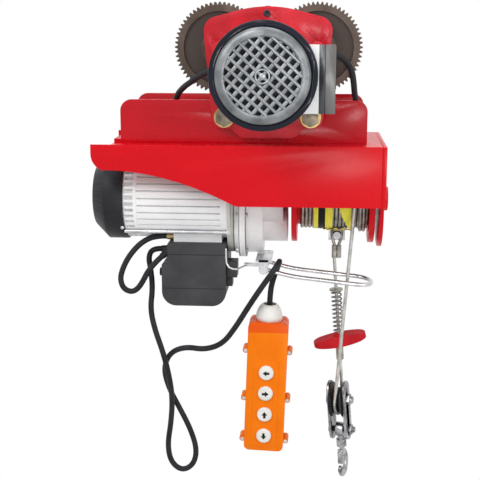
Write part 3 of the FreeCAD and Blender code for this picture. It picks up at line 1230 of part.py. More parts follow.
def make_rope():
    """Anchor bracket and pin on the rear apron, the rope's eye and ferrules, and the two falls."""
    strap = ANCHOR_STRAP_THICK
    half = ANCHOR_STRAP_HALF
    rear = FRAME_HALF_DEPTH - FRAME_SHEET
    lug_back = ANCHOR_Y + ANCHOR_LUG_SET
    lug_low = ANCHOR_Z - ANCHOR_LUG_DROP
    eye_x = ANCHOR_X + FERRULE_SPREAD
    left = eye_x - half
    right = eye_x + half
    upright = box(left, right, rear - strap, rear, ANCHOR_STRAP_Z - strap, APRON_BOTTOM + 36.0)
    shelf = box(left, right, lug_back - strap, rear, ANCHOR_STRAP_Z - strap, ANCHOR_STRAP_Z)
    lug = box(left, right, lug_back - strap, lug_back, lug_low, ANCHOR_STRAP_Z)
    pin_front = ANCHOR_Y - ROPE_DIAMETER
    pin_hole = rod("Y", (eye_x, lug_back - strap, ANCHOR_Z), ANCHOR_PIN_RADIUS, strap)
    bracket = fused(upright, shelf, lug).cut(pin_hole)
    pin = rod("Y", (eye_x, pin_front, ANCHOR_Z), ANCHOR_PIN_RADIUS, lug_back - pin_front)
    cap_place = (eye_x, pin_front - ANCHOR_PIN_HEAD, ANCHOR_Z)
    cap = rod("Y", cap_place, ANCHOR_PIN_RADIUS + ROPE_RADIUS / 2, ANCHOR_PIN_HEAD)
    save("rope_anchor", bracket, fused(pin, cap))

    loop_radius = ANCHOR_PIN_RADIUS + ROPE_RADIUS
    loop_half = [
        (FERRULE_SPREAD, FERRULE_TOP), (loop_radius, ANCHOR_Z - ROPE_RADIUS), (loop_radius, ANCHOR_Z + loop_radius),
    ]
    loop_points = [(eye_x - x, ANCHOR_Y, z) for x, z in loop_half]
    loop_points += [(eye_x + x, ANCHOR_Y, z) for x, z in reversed(loop_half)]
    loop = bent_rod(loop_points, ROPE_RADIUS - SOFT_GAP)
    ferrule_length = FERRULE_TOP - FERRULE_BOTTOM
    barrels = [
        rod("Z", (eye_x + side * FERRULE_SPREAD, ANCHOR_Y, FERRULE_BOTTOM), FERRULE_RADIUS, ferrule_length)
        for side in (-1, 1)
    ]
    ferrule = fused(*barrels)
    washer = tube("Z", (0, 0, 0), WASHER_RADIUS, ROPE_RADIUS, WASHER_THICK)
    sleeve_top = SPRING_BOTTOM - SADDLE_DEPTH
    sleeve = tube("Z", (0, 0, 0), SLEEVE_RADIUS, ROPE_RADIUS, sleeve_top - SLEEVE_BOTTOM)
    save(
        "rope_end", fused(ferrule, loop.cut(ferrule)),
        along_fall(washer, SPRING_TOP), along_fall(sleeve, SLEEVE_BOTTOM),
    )

    start, aim = anchored_line()
    save("dead_rope_fall", straight_rope(start + aim * SOFT_GAP, rope_end_at_sheave()))
    live_start = point(LIVE_ROPE_X, LIVE_ROPE_Y, HOIST_AXIS_Z)
    live_end = block_place().multVec(point(0, -SHEAVE_ROPE_RADIUS, 0))
    save("live_rope_fall", straight_rope(live_start, live_end))


def make_limiter():
    """Hairpin arm on a pivot under the gearbox, and the sprung saddle that lifts it."""
    hub_back = ARM_REAR_Y + ARM_ROD_RADIUS + ARM_HUB_RIM
    hub_front = ARM_FRONT_Y - ARM_ROD_RADIUS - ARM_HUB_RIM
    pivot_radius = ARM_PIVOT_RADIUS
    hub = rod("Y", (ARM_PIVOT_X, hub_front, ARM_PIVOT_Z), ARM_HUB_RADIUS, hub_back - hub_front)
    legs = [
        (ARM_PIVOT_X, ARM_FRONT_Y, ARM_PIVOT_Z), (ARM_KNEE_X, ARM_FRONT_Y, ARM_KNEE_Z),
        (ARM_TIP_X, ARM_FRONT_Y, ARM_TIP_Z), (ARM_TIP_X, ARM_REAR_Y, ARM_TIP_Z),
        (ARM_KNEE_X, ARM_REAR_Y, ARM_KNEE_Z), (ARM_PIVOT_X, ARM_REAR_Y, ARM_PIVOT_Z),
    ]
    hairpin = bent_rod(legs, ARM_ROD_RADIUS)
    middle = (ARM_FRONT_Y + ARM_REAR_Y) / 2
    half_width = ARM_LEVER_WIDTH / 2
    half_thick = ARM_LEVER_THICK / 2
    lever = box(
        ARM_PIVOT_X - ARM_LEVER_LENGTH, ARM_PIVOT_X, middle - half_width, middle + half_width,
        ARM_PIVOT_Z - half_thick, ARM_PIVOT_Z + half_thick,
    )
    arm = fused(hub, hairpin, lever)
    bore = rod("Y", (ARM_PIVOT_X, hub_front, ARM_PIVOT_Z), pivot_radius + RUN_FIT, hub_back - hub_front)
    save("limit_arm", arm.cut(bore))

    cheek = ARM_CHEEK_THICK
    gap = LOOSE_GAP
    pivot_front = hub_front - gap - cheek
    pivot_back = hub_back + gap + cheek
    under = LAY_Z - GEARBOX_RADIUS
    web_half = ARM_WEB_HALF
    cheeks = [
        box(ARM_PIVOT_X - web_half, ARM_PIVOT_X + web_half, y, y + cheek, ARM_PIVOT_Z - ARM_CHEEK_DROP, under)
        for y in (pivot_front, pivot_back - cheek)
    ]
    web = box(ARM_PIVOT_X - web_half, ARM_PIVOT_X + web_half, pivot_front, pivot_back, under - cheek, under)
    bracket = fused(web, *cheeks)
    hole = rod("Y", (ARM_PIVOT_X, pivot_front, ARM_PIVOT_Z), pivot_radius, pivot_back - pivot_front)
    bolt = rod("Y", (ARM_PIVOT_X, pivot_front, ARM_PIVOT_Z), pivot_radius, pivot_back - pivot_front)
    head_place = (ARM_PIVOT_X, pivot_front - ARM_HEAD_HEIGHT, ARM_PIVOT_Z)
    head = hexagon("Y", head_place, ARM_NUT_ACROSS, ARM_HEAD_HEIGHT)
    nut = hexagon("Y", (ARM_PIVOT_X, pivot_back, ARM_PIVOT_Z), ARM_NUT_ACROSS, ARM_NUT_HEIGHT)
    save("limit_arm_bracket", bracket.cut(hole), fused(bolt, head, nut))

    height = SPRING_TOP - SPRING_BOTTOM - SPRING_WIRE - 2 * SOFT_GAP
    coil = Part.makeLongHelix(height / SPRING_TURNS, height, SPRING_RADIUS - SPRING_WIRE / 2)
    wire = Part.Wire(Part.makeCircle(SPRING_WIRE / 2, point(SPRING_RADIUS - SPRING_WIRE / 2, 0, 0), AXES["Y"]))
    spring = Part.Wire(coil).makePipeShell([wire], True, True)
    save("limit_spring", along_fall(spring, SPRING_BOTTOM + SPRING_WIRE / 2 + SOFT_GAP))

    half = SADDLE_HALF_LENGTH
    depth = SADDLE_HALF_DEPTH
    end_top = -SADDLE_TOP_FALL
    end_low = end_top - SADDLE_END_THICK
    upper = Part.Arc(point(-half, 0, end_top), point(0, 0, 0), point(half, 0, end_top)).toShape()
    lower = Part.Arc(point(half, 0, end_low), point(0, 0, -SADDLE_THICK), point(-half, 0, end_low)).toShape()
    right_end = Part.LineSegment(point(half, 0, end_top), point(half, 0, end_low)).toShape()
    left_end = Part.LineSegment(point(-half, 0, end_low), point(-half, 0, end_top)).toShape()
    saddle = plate_xz([upper, right_end, lower, left_end], -depth, depth)
    trim_box = box(-half, half, -depth, depth, -half, half)
    upright_edges = [edge for edge in trim_box.Edges if abs(edge.tangentAt(0).z) > 0.9]
    saddle = saddle.common(trim_box.makeFillet(SADDLE_END_RADIUS, upright_edges))
    saddle.rotate(point(0, 0, 0), AXES["Y"], -SADDLE_TILT)
    saddle.translate(point(0, 0, -SADDLE_SEAT))
    neck_low = SOFT_GAP - SADDLE_DEPTH
    neck = rod("Z", (0, 0, neck_low), SPRING_RADIUS + LOOSE_GAP, -neck_low)
    saddle = fused(saddle, neck).cut(rod("Z", (0, 0, neck_low), ROPE_RADIUS + SOFT_GAP, -neck_low))
    save("limit_saddle", along_fall(saddle, SPRING_BOTTOM))


def leaned(shape):
    """Carry a shape drawn upright about the sheave's centre to its leaning place."""
    placed = shape.copy()
    placed.Placement = block_place().multiply(placed.Placement)
    return placed


def make_hook_block():
    """Sheave between two strap plates, a swivel eye on the lower bolt, the hook and its latch."""
    inner = SHEAVE_HALF_WIDTH + BLOCK_PLATE_GAP
    outer = inner + BLOCK_PLATE_THICK
    half = BLOCK_PLATE_HALF
    low = -LOWER_BOLT_DROP
    corners = [(-half, BLOCK_PLATE_TOP), (-half, low - half), (half, low - half), (half, BLOCK_PLATE_TOP)]
    outline = smooth_outline(corners, [BLOCK_PLATE_ROUND] * 4, "YZ")
    face = Part.Face(Part.Wire(outline))
    solids = []
    for start in (-outer, inner):
        plate = face.extrude(point(BLOCK_PLATE_THICK, 0, 0))
        plate.translate(point(start, 0, 0))
        for z, radius in ((0, SHEAVE_BOLT_RADIUS), (low, LOWER_BOLT_RADIUS)):
            plate = plate.cut(rod("X", (start, 0, z), radius, BLOCK_PLATE_THICK))
        solids.append(plate)
    for z, radius in ((0, SHEAVE_BOLT_RADIUS), (low, LOWER_BOLT_RADIUS)):
        across = 3 * radius
        shank = rod("X", (-outer, 0, z), radius, 2 * outer + BLOCK_NUT_HEIGHT + BLOCK_BOLT_TAIL)
        head = hexagon("X", (-outer - BLOCK_HEAD_HEIGHT, 0, z), across, BLOCK_HEAD_HEIGHT)
        nut = hexagon("X", (outer, 0, z), across, BLOCK_NUT_HEIGHT)
        solids.append(fused(shank, head, nut))
    save("sheave_block", *[leaned(solid) for solid in solids])

    groove = SHEAVE_ROPE_RADIUS - ROPE_RADIUS - SOFT_GAP
    floor = ROPE_RADIUS + SOFT_GAP / 2
    side = SHEAVE_HALF_WIDTH
    profile = [
        (SHEAVE_BOLT_RADIUS + RUN_FIT, -side), (SHEAVE_RADIUS, -side), (SHEAVE_RADIUS, -side + SHEAVE_RIM),
        (groove, -floor), (groove, floor), (SHEAVE_RADIUS, side - SHEAVE_RIM), (SHEAVE_RADIUS, side),
        (SHEAVE_BOLT_RADIUS + RUN_FIT, side),
    ]
    save("sheave", leaned(revolved("X", (0, 0, 0), profile)))

    eye = rod("X", (-EYE_HALF_WIDTH, 0, low), EYE_RADIUS, 2 * EYE_HALF_WIDTH)
    collar_top = low - COLLAR_DROP
    stem_top = low - EYE_RADIUS + 2.0
    stem = rod("Z", (0, 0, collar_top), STEM_RADIUS, stem_top - collar_top)
    collar = rod("Z", (0, 0, collar_top - COLLAR_HEIGHT), COLLAR_RADIUS, COLLAR_HEIGHT)
    eye = fused(eye, stem, collar)
    eye = eye.cut(rod("X", (-EYE_HALF_WIDTH, 0, low), LOWER_BOLT_RADIUS + RUN_FIT, 2 * EYE_HALF_WIDTH))
    shank_bore = rod("Z", (0, 0, collar_top - COLLAR_HEIGHT), HOOK_SHANK_RADIUS + RUN_FIT, COLLAR_HEIGHT - HOOK_NECK)
    save("swivel_eye", leaned(eye.cut(shank_bore)))
    make_hook(collar_top - COLLAR_HEIGHT - SOFT_GAP)


def make_hook(neck_z):
    """Forged hook of oval section, which bends back from its neck and round the bowl, and its latch."""
    bend = math.radians(HOOK_BEND)
    ring = HOOK_BOWL_RADIUS
    bend_radius = ring * math.cos(bend) / (1 - math.cos(bend))
    straight_end = neck_z - HOOK_NECK
    bowl = straight_end - (bend_radius + ring) * math.sin(bend)
    tip_angle = math.radians(HOOK_TIP_ANGLE)

    def oval(y, z, angle):
        """Section of the bar, deep along the angle from +Y."""
        centre = point(0, y, z)
        outward = point(0, math.cos(angle), math.sin(angle)) * HOOK_BAR_HALF_DEPTH
        edge = Part.Ellipse(centre + outward, centre + point(HOOK_BAR_HALF_WIDTH, 0, 0), centre)
        return Part.Face(Part.Wire(edge.toShape()))

    tip_y = ring * math.cos(tip_angle)
    tip_z = bowl + ring * math.sin(tip_angle)
    bowl_sweep = HOOK_TIP_ANGLE - 360 - HOOK_BEND
    neck = oval(0, straight_end, 0).extrude(point(0, 0, HOOK_NECK))
    bend_run = oval(0, straight_end, 0).revolve(point(0, bend_radius, straight_end), AXES["X"], HOOK_BEND)
    bowl_start = oval(ring * math.cos(bend), bowl + ring * math.sin(bend), bend)
    bowl_run = bowl_start.revolve(point(0, 0, bowl), AXES["X"], bowl_sweep)
    tip = rod("X", (-HOOK_NOSE_HALF_WIDTH, tip_y, tip_z), HOOK_NOSE_RADIUS, 2 * HOOK_NOSE_HALF_WIDTH)
    bar = fused(neck, bend_run, bowl_run, tip)
    shank = rod("Z", (0, 0, neck_z - HOOK_NECK), HOOK_SHANK_RADIUS, COLLAR_HEIGHT - SOFT_GAP - LOOSE_GAP)
    pin_y = -HOOK_BAR_HALF_DEPTH - LATCH_PIN_OUT
    pin_z = neck_z - LATCH_PIN_DROP
    pin_start = (-LATCH_PIN_LENGTH / 2, pin_y, pin_z)
    pin = rod("X", pin_start, LATCH_PIN_RADIUS, LATCH_PIN_LENGTH)
    lug_half = LATCH_LUG_HALF
    knuckle = LATCH_KNUCKLE_RADIUS
    lug = box(-lug_half, lug_half, pin_y - lug_half, 0, pin_z - knuckle, pin_z + knuckle)
    save("hook", leaned(fused(bar, shank, lug, pin)))

    side = LATCH_HALF_WIDTH
    width = LATCH_KNUCKLE_WIDTH
    face = pin_y - knuckle
    inner_face = face + LATCH_THICK
    plate_top = pin_z - LATCH_PLATE_DROP
    knuckle_starts = (-side, side - width)
    knuckles = [rod("X", (x, pin_y, pin_z), knuckle, width) for x in knuckle_starts]
    plate = box(-side, side, face, inner_face, pin_z - LATCH_REACH, plate_top)
    arms = [box(x, x + width, face, inner_face, plate_top - width, pin_z) for x in knuckle_starts]
    pin_bore = rod("X", pin_start, LATCH_PIN_RADIUS + RUN_FIT, LATCH_PIN_LENGTH)
    save("hook_latch", leaned(fused(plate, *knuckles, *arms).cut(pin_bore)))


def make_switch_box():
    """Moulded box under the motor with a separate front cover, the limit switch block and cable glands."""
    top = MOTOR_FOOT_BOTTOM
    corners = [
        (BOX_NECK_LEFT, top), (BOX_NECK_LEFT, BOX_NECK_Z), (BOX_LEFT, BOX_NECK_Z), (BOX_LEFT, BOX_BOTTOM),
        (BOX_RIGHT, BOX_BOTTOM), (BOX_RIGHT, top),
    ]
    radii = [BOX_TOP_CORNER, BOX_NECK_CORNER, BOX_STEP_CORNER, BOX_CORNER, BOX_CORNER, BOX_TOP_CORNER]
    wall = BOX_WALL
    inner_corners = [
        (BOX_NECK_LEFT + wall, top - wall), (BOX_NECK_LEFT + wall, BOX_NECK_Z - wall),
        (BOX_LEFT + wall, BOX_NECK_Z - wall), (BOX_LEFT + wall, BOX_BOTTOM + wall),
        (BOX_RIGHT - wall, BOX_BOTTOM + wall), (BOX_RIGHT - wall, top - wall),
    ]
    small = BOX_INNER_CORNER
    inner_radii = [small, small, small, BOX_CORNER - wall, BOX_CORNER - wall, small]
    depth = BOX_HALF_DEPTH
    seam = -depth + BOX_COVER_DEPTH
    body = plate_xz(smooth_outline(corners, radii), seam, depth)
    hollow = plate_xz(smooth_outline(inner_corners, inner_radii), -depth + wall, depth - wall)
    cover = plate_xz(smooth_outline(corners, radii), -depth, seam)
    switch_right = BOX_RIGHT + LIMIT_SWITCH_WIDTH
    high = box(
        BOX_RIGHT, switch_right, LIMIT_SWITCH_FRONT, LIMIT_SWITCH_BACK, LIMIT_SWITCH_STEP_Z, LIMIT_SWITCH_TOP,
    )
    low = box(
        BOX_RIGHT, switch_right - LIMIT_SWITCH_STEP, LIMIT_SWITCH_FRONT + LIMIT_SWITCH_INSET,
        LIMIT_SWITCH_BACK - LIMIT_SWITCH_INSET, LIMIT_SWITCH_BOTTOM, LIMIT_SWITCH_TOP,
    )
    save("switch_box", body.cut(hollow), fused(high, low))
    save("switch_box_cover", cover.cut(hollow))

    glands = []
    shell = plate_xz(smooth_outline(corners, radii), -depth, depth)
    motor_foot = box(
        MOTOR_FOOT_LEFT, MOTOR_RIGHT, -MOTOR_FOOT_HALF_DEPTH, MOTOR_FOOT_HALF_DEPTH, top, HOIST_AXIS_Z,
    )
    for start, aim, length in (MOTOR_LEAD_EXIT, MOTOR_LEAD_ENTRY, PENDANT_LEAD_EXIT):
        direction = point(*aim).normalize()
        base = point(*start) - direction * GLAND_RADIUS
        gland = Part.makeCone(GLAND_RADIUS, GLAND_RADIUS - GLAND_TAPER, length + GLAND_RADIUS, base, direction)
        glands.append(gland.cut([shell, motor_foot]))
    supply_place = (BOX_LEFT - GLAND_LENGTH, SUPPLY_GLAND_Y, SUPPLY_GLAND_Z)
    supply = rod("X", supply_place, GLAND_RADIUS, GLAND_LENGTH)
    glands.append(supply.cut(rod("X", supply_place, SUPPLY_BORE_RADIUS, GLAND_LENGTH - SUPPLY_GLAND_WALL)))
    save("cable_glands", *glands)


def hung(shape):
    """Carry a shape drawn with its top centre at the origin to the pendant's leaning place."""
    placed = shape.copy()
    turn = FreeCAD.Rotation(AXES["Y"], PENDANT_LEAN)
    place = point(PENDANT_X, PENDANT_Y, PENDANT_TOP)
    placed.Placement = FreeCAD.Placement(place, turn).multiply(placed.Placement)
    return placed


def pendant_outline(inset):
    half = PENDANT_HALF_WIDTH - inset
    corners = [
        (-half, -inset), (-half, -PENDANT_LENGTH + inset), (half, -PENDANT_LENGTH + inset), (half, -inset),
    ]
    return smooth_outline(corners, [PENDANT_CORNER - inset] * 4)


def make_pendant():
    """Hand control: two case halves screwed at side lugs, a domed gland and four push buttons."""
    depth = PENDANT_HALF_DEPTH
    wall = PENDANT_WALL
    lug_places = [
        (side * (PENDANT_HALF_WIDTH + PENDANT_LUG_OUT), -drop) for side in (-1, 1) for drop in PENDANT_LUG_DROPS
    ]
    screw_radius = PENDANT_SCREW_RADIUS
    lug_depth = PENDANT_LUG_DEPTH

    def half_case(y0, y1):
        lug_start = max(y0, -lug_depth)
        lug_length = min(y1, lug_depth) - lug_start
        lugs = [rod("Y", (x, lug_start, z), PENDANT_LUG_RADIUS, lug_length) for x, z in lug_places]
        case = fused(plate_xz(pendant_outline(0), y0, y1), *lugs)
        case = case.cut(plate_xz(pendant_outline(wall), max(y0, -depth + wall), min(y1, depth - wall)))
        holes = [rod("Y", (x, lug_start, z), screw_radius, lug_length) for x, z in lug_places]
        return case.cut(holes)

    front = half_case(-depth, 0)
    hole_radius = BUTTON_RADIUS + SOFT_GAP
    front = front.cut([rod("Y", (0, -depth, -drop), hole_radius, wall) for drop in BUTTON_DROPS])
    save("pendant_front", hung(front))
    save("pendant_back", hung(half_case(0, depth)))

    for name, drop in zip(BUTTON_NAMES, BUTTON_DROPS):
        face = -depth - BUTTON_PROUD
        flange_start = -depth + wall + SOFT_GAP
        cap = rod("Y", (0, face, -drop), BUTTON_RADIUS, flange_start - face)
        rim = [edge for edge in cap.Edges if abs(edge.BoundBox.YMax - face) < RUN_FIT]
        cap = cap.makeFillet(BUTTON_EDGE, rim)
        flange = rod("Y", (0, flange_start, -drop), BUTTON_RADIUS + BUTTON_FLANGE_RIM, BUTTON_FLANGE_THICK)
        save("button_" + name, hung(fused(cap, flange)))

    height = PENDANT_GLAND_HEIGHT
    radius = PENDANT_GLAND_RADIUS
    edge = PENDANT_GLAND_EDGE
    top = PENDANT_GLAND_TOP_RADIUS
    profile = [(0, 0), (radius, 0), (radius, edge), (top, height - edge), (top - edge, height), (0, height)]
    save("pendant_gland", hung(revolved("Z", (0, 0, 0), profile)))

    screws = [top_screw(), *trolley_screws(TROLLEY_SCREW_RADIUS, 4.0)]
    for x, z in lug_places:
        shank = rod("Y", (x, -lug_depth, z), screw_radius, 2 * lug_depth)
        head_front = -lug_depth - PENDANT_SCREW_HEAD_HEIGHT
        head = rod("Y", (x, head_front, z), PENDANT_SCREW_HEAD_RADIUS, PENDANT_SCREW_HEAD_HEIGHT)
        screws.append(hung(fused(shank, head)))
    save("small_screws", *screws)


def gland_face(gland):
    start, aim, length = gland
    return point(*start) + point(*aim).normalize() * length


def make_cables():
    """Motor lead, the travel motor's leads and the pendant lead, each a round tube along its route."""
    first = gland_face(MOTOR_LEAD_EXIT)
    last = gland_face(MOTOR_LEAD_ENTRY)
    straight = point(*MOTOR_LEAD_ENTRY[1]).normalize() * LEAD_ENTRY_RUN
    motor_points = [tuple(first), *MOTOR_LEAD, tuple(last + straight), tuple(last)]
    motor_lead = cord("motor lead", motor_points, CABLE_RADIUS)
    housing_side = rod("Y", (0, TROLLEY_SHELL_FRONT, PINION_Z), TROLLEY_FIN_RADIUS + SOFT_GAP / 2, -TROLLEY_SHELL_FRONT)
    left_lead = cord("left travel lead", TRAVEL_LEAD_LEFT, CABLE_RADIUS).cut(housing_side)
    right_lead = cord("right travel lead", TRAVEL_LEAD_RIGHT, CABLE_RADIUS)
    save("cable_runs", motor_lead, left_lead, right_lead)

    lean = math.radians(PENDANT_LEAN)
    axis = point(math.sin(lean), 0, math.cos(lean))
    end = point(PENDANT_X, PENDANT_Y, PENDANT_TOP) + axis * PENDANT_GLAND_HEIGHT
    pendant_points = [tuple(gland_face(PENDANT_LEAD_EXIT)), *PENDANT_LEAD, tuple(end + axis * PENDANT_ENTRY_RUN), tuple(end)]
    save("pendant_cable", cord("pendant lead", pendant_points, CABLE_RADIUS))


os.makedirs("parts", exist_ok=True)
make_side_plates()
make_wheels()
make_trolley_drive()
make_trolley_motor()
make_hanger()
make_frame()
make_hoist_motor()
make_gearbox()
make_drum()
make_bearings()
make_rope()
make_limiter()
make_hook_block()
make_switch_box()
make_pendant()
make_cables()
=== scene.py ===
"""Rope hoist on a beam trolley: finishes, cables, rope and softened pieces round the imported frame."""

import json
import math

import bmesh
import bpy
import numpy as np
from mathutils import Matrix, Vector

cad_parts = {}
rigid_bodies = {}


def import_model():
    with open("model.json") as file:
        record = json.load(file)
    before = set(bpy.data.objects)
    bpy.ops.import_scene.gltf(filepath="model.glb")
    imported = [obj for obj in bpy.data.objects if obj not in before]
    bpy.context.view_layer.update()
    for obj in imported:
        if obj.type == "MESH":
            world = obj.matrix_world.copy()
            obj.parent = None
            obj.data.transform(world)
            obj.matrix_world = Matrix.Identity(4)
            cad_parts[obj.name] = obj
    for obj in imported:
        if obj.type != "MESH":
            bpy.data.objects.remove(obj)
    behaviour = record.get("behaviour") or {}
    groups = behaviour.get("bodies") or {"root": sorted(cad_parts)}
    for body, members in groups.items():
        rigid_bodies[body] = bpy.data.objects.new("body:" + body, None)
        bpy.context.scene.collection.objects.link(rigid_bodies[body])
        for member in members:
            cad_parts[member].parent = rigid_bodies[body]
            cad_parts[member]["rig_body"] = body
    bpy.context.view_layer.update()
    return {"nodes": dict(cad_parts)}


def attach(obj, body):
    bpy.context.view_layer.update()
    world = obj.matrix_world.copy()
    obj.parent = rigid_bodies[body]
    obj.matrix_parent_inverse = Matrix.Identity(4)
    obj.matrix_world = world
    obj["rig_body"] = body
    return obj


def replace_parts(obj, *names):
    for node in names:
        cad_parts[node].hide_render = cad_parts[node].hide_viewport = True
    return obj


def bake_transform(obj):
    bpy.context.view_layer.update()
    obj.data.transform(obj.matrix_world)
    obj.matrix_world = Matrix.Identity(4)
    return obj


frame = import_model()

MM = 0.001
TAU = 2.0 * math.pi
WHITE = (1.0, 1.0, 1.0, 1.0)

# Camera at the photograph's place, in metres and degrees, with its lens in millimetres
CAMERA_PLACE = (0.0799, -1.6463, 0.0756)
CAMERA_AZIMUTH = 4.5
CAMERA_DROP = 12.0
CAMERA_LENS = 75.0
SENSOR_WIDTH = 36.0

# Floor and light, in metres and watts; each lamp has a name, a place, a size and a power
FLOOR_Z = -2.76
FLOOR_REACH = 6.0
FLOOR_COLOUR = (0.9, 0.9, 0.9, 1.0)
FLOOR_ROUGHNESS = 0.8
WORLD_STRENGTH = 0.58
LAMP_TARGET = (0.0, 0.0, -0.2)
LAMPS = [
    ("key", (-1.2, -1.9, 1.5), 1.4, 32.0),
    ("fill", (1.7, -1.6, 0.4), 1.6, 17.0),
    ("top", (0.1, 0.2, 2.0), 1.8, 18.0),
    ("sheen", (0.34, -2.2, 0.06), 0.4, 7.0),
]

# Finishes: from how much metal on they get the metal's specular level, and the roughness of their coat
METAL_FROM = 0.5
METAL_SPECULAR = 0.5
COAT_ROUGHNESS = 0.12

# Softened pieces: merging distance in metres, angles of flat and of sharp edges in degrees
MERGE_DISTANCE = 1e-6
FLAT_ANGLE = 0.5
SHARP_ANGLE = 35.0
BEVEL_SEGMENTS = 2

# Direction that the side vectors of swept paths start from
SIDE_START = (0.31, 0.87, 0.38)

# Rope on drum and sheave; from here on all lengths are in millimetres and all angles in degrees
ROPE_RADIUS = 3.0
ROPE_LAY = 28.0
ROPE_STRANDS = 6
STRAND_RELIEF = 0.14
ROPE_AROUND = 24
FALL_STEPS = 160
HELD_STEPS = 120
ARC_STEPS = 40
HOIST_AXIS_Z = -201.0
DRUM_CORE_RADIUS = 44.5
WOUND_LEFT = 47.2
WOUND_RIGHT = 163.0
WOUND_AROUND = 16
WOUND_STEPS = 44
SECOND_LAYER_LEFT = 146.0
SECOND_LAYER_STEP = 5.2
SHEAVE_CENTRE = (121.0, -14.5, -549.0)
SHEAVE_ROPE_RADIUS = 24.0
BLOCK_LEAN = 5.0
BLOCK_TURN = 17.0
LIVE_TOP = (140.0, -53.8, -201.0)
DEAD_TOP = (109.5, 11.0, -305.0)
SLEEVE_LOW = -486.0

# Spring on the anchored fall, over the saddle
SPRING_TOP = -362.0
SPRING_LOW = -438.0
SPRING_WIRE_RADIUS = 1.4
SPRING_COIL_RADIUS = 8.1
SPRING_TURNS = 10
SPRING_STEPS = 320
SPRING_AROUND = 10

# Torn band: its gap over the rope, its thickness and how many points it has
BAND_GAP = 0.7
BAND_THICK = 0.35
BAND_ROWS = 40
BAND_COLUMNS = 60

# Hoist motor's ring: edges of a slot as shares of a step and where it is cut; rows of x, radius and depth
RING_SLOTS = 40
RING_SLOT_EDGES = [0.0, 0.04, 0.60, 0.64]
RING_SLOT_CUT = [0.0, 1.0, 1.0, 0.0]
RING_ROWS = [
    (-236, 68, 0), (-234, 69, 0), (-233.6, 69, 10), (-219.4, 69, 10), (-219, 69, 0), (-214, 69, 0),
    (-213, 68, 0), (-213, 57, 0), (-236, 57, 0),
]

# Hoist motor's barrel: edges of a groove and where it is cut; rows of x, radius, grooved and pocketed
BARREL_GROOVES = 36
BARREL_GROOVE_DEPTH = 6.5
BARREL_GROOVE_EDGES = [0.0, 2.0, 3.9, 4.0, 6.0, 6.1, 8.0]
BARREL_GROOVE_CUT = [0.0, 0.0, 0.0, 1.0, 1.0, 0.0, 0.0]
BARREL_POCKET_ANGLE = 244.5
BARREL_POCKET_HALF = 10.0
BARREL_ROWS = [
    (-213, 69, 1, 0), (-195, 69, 1, 0), (-195, 69, 1, 1), (-157, 69, 1, 1), (-157, 69, 1, 0),
    (-77, 69, 1, 0), (-77, 69, 0, 0), (-67, 69, 0, 0), (-67, 56, 0, 0), (-213, 56, 0, 0),
]
BARREL_FOOT = [(-157, -272), (-77, -272), (-77, -232), (-157, -232)]
BARREL_FOOT_HALF = 38.0

# Fan cover's screws
COVER_RADIUS = 72.0
COVER_SCREWS = 4
COVER_SCREW_X = -238.8
COVER_SCREW_FIRST = 38.0
COVER_SCREW_HALF = 2.2
COVER_SCREW_TIP = 0.2
COVER_SCREW_RADIUS = 3.0
COVER_SCREW_STEPS = 9
COVER_SCREW_AROUND = 24

# Trolley motor's grille and the plate's top screw; profiles are pairs of depth and radius
TROLLEY_AXIS_Z = 8.4
GRILLE_FRONT = -234.0
GRILLE_BAR_BACK = 4.2
GRILLE_BAR_EDGE = 0.5
GRILLE_FIELD = 55.5
GRILLE_PITCH = 12.3
GRILLE_RIM = [
    (4.0, 54.5), (0.9, 54.5), (0.2, 55.5), (0.0, 57.5), (0.4, 61.0), (1.6, 64.5), (3.6, 67.2),
    (6.5, 68.4), (15.0, 68.5), (17.9, 74.3), (17.9, 65.0), (8.0, 65.0), (4.6, 62.0),
]
GRILLE_BOSS = [(-1.4, 1.0), (-1.2, 4.2), (-0.5, 5.0), (4.0, 5.0)]
GRILLE_RING = [(4.0, 8.4), (0.0, 8.4), (-0.7, 9.2), (-0.7, 10.2), (0.0, 11.0), (4.0, 11.0)]
GRILLE_RIM_AROUND = 96
GRILLE_BOSS_AROUND = 40
GRILLE_RING_AROUND = 48
TOP_SCREW = (0.0, -126.0, 96.0)
TOP_SCREW_HEAD = [(2.6, 0.3), (2.6, 2.7), (0.0, 2.9), (0.0, 4.7), (0.6, 5.3), (4.0, 5.3)]
TOP_SCREW_AROUND = 36

# Limit arm's bracket with its pivot bolt, and the arm's lever wire
ARM_PIVOT = (-6.0, -310.0)
BRACKET_FRONT = -69.5
BRACKET_BACK = 6.5
BRACKET_TOP = -294.0
CHEEK_RADIUS = 8.0
CHEEK_THICK = 3.5
CHEEK_STEPS = 17
STRAP_HALF = 13.0
STRAP_THICK = 3.0
PIVOT_RADIUS = 3.9
PIVOT_STEPS = 36
PIVOT_HEX_RADIUS = 7.2
PIVOT_HEAD = 5.0
PIVOT_NUT = 6.0
LEVER_RADIUS = 1.5
LEVER_STEPS = 60
LEVER_AROUND = 12
LEVER_ROUTE = [
    (-36, -36, -310), (-42, -50, -310), (-48, -68, -309.5), (-56, -73, -308), (-62, -74, -305),
    (-65.5, -74, -299), (-66.5, -74, -290), (-66.5, -74, -274),
]

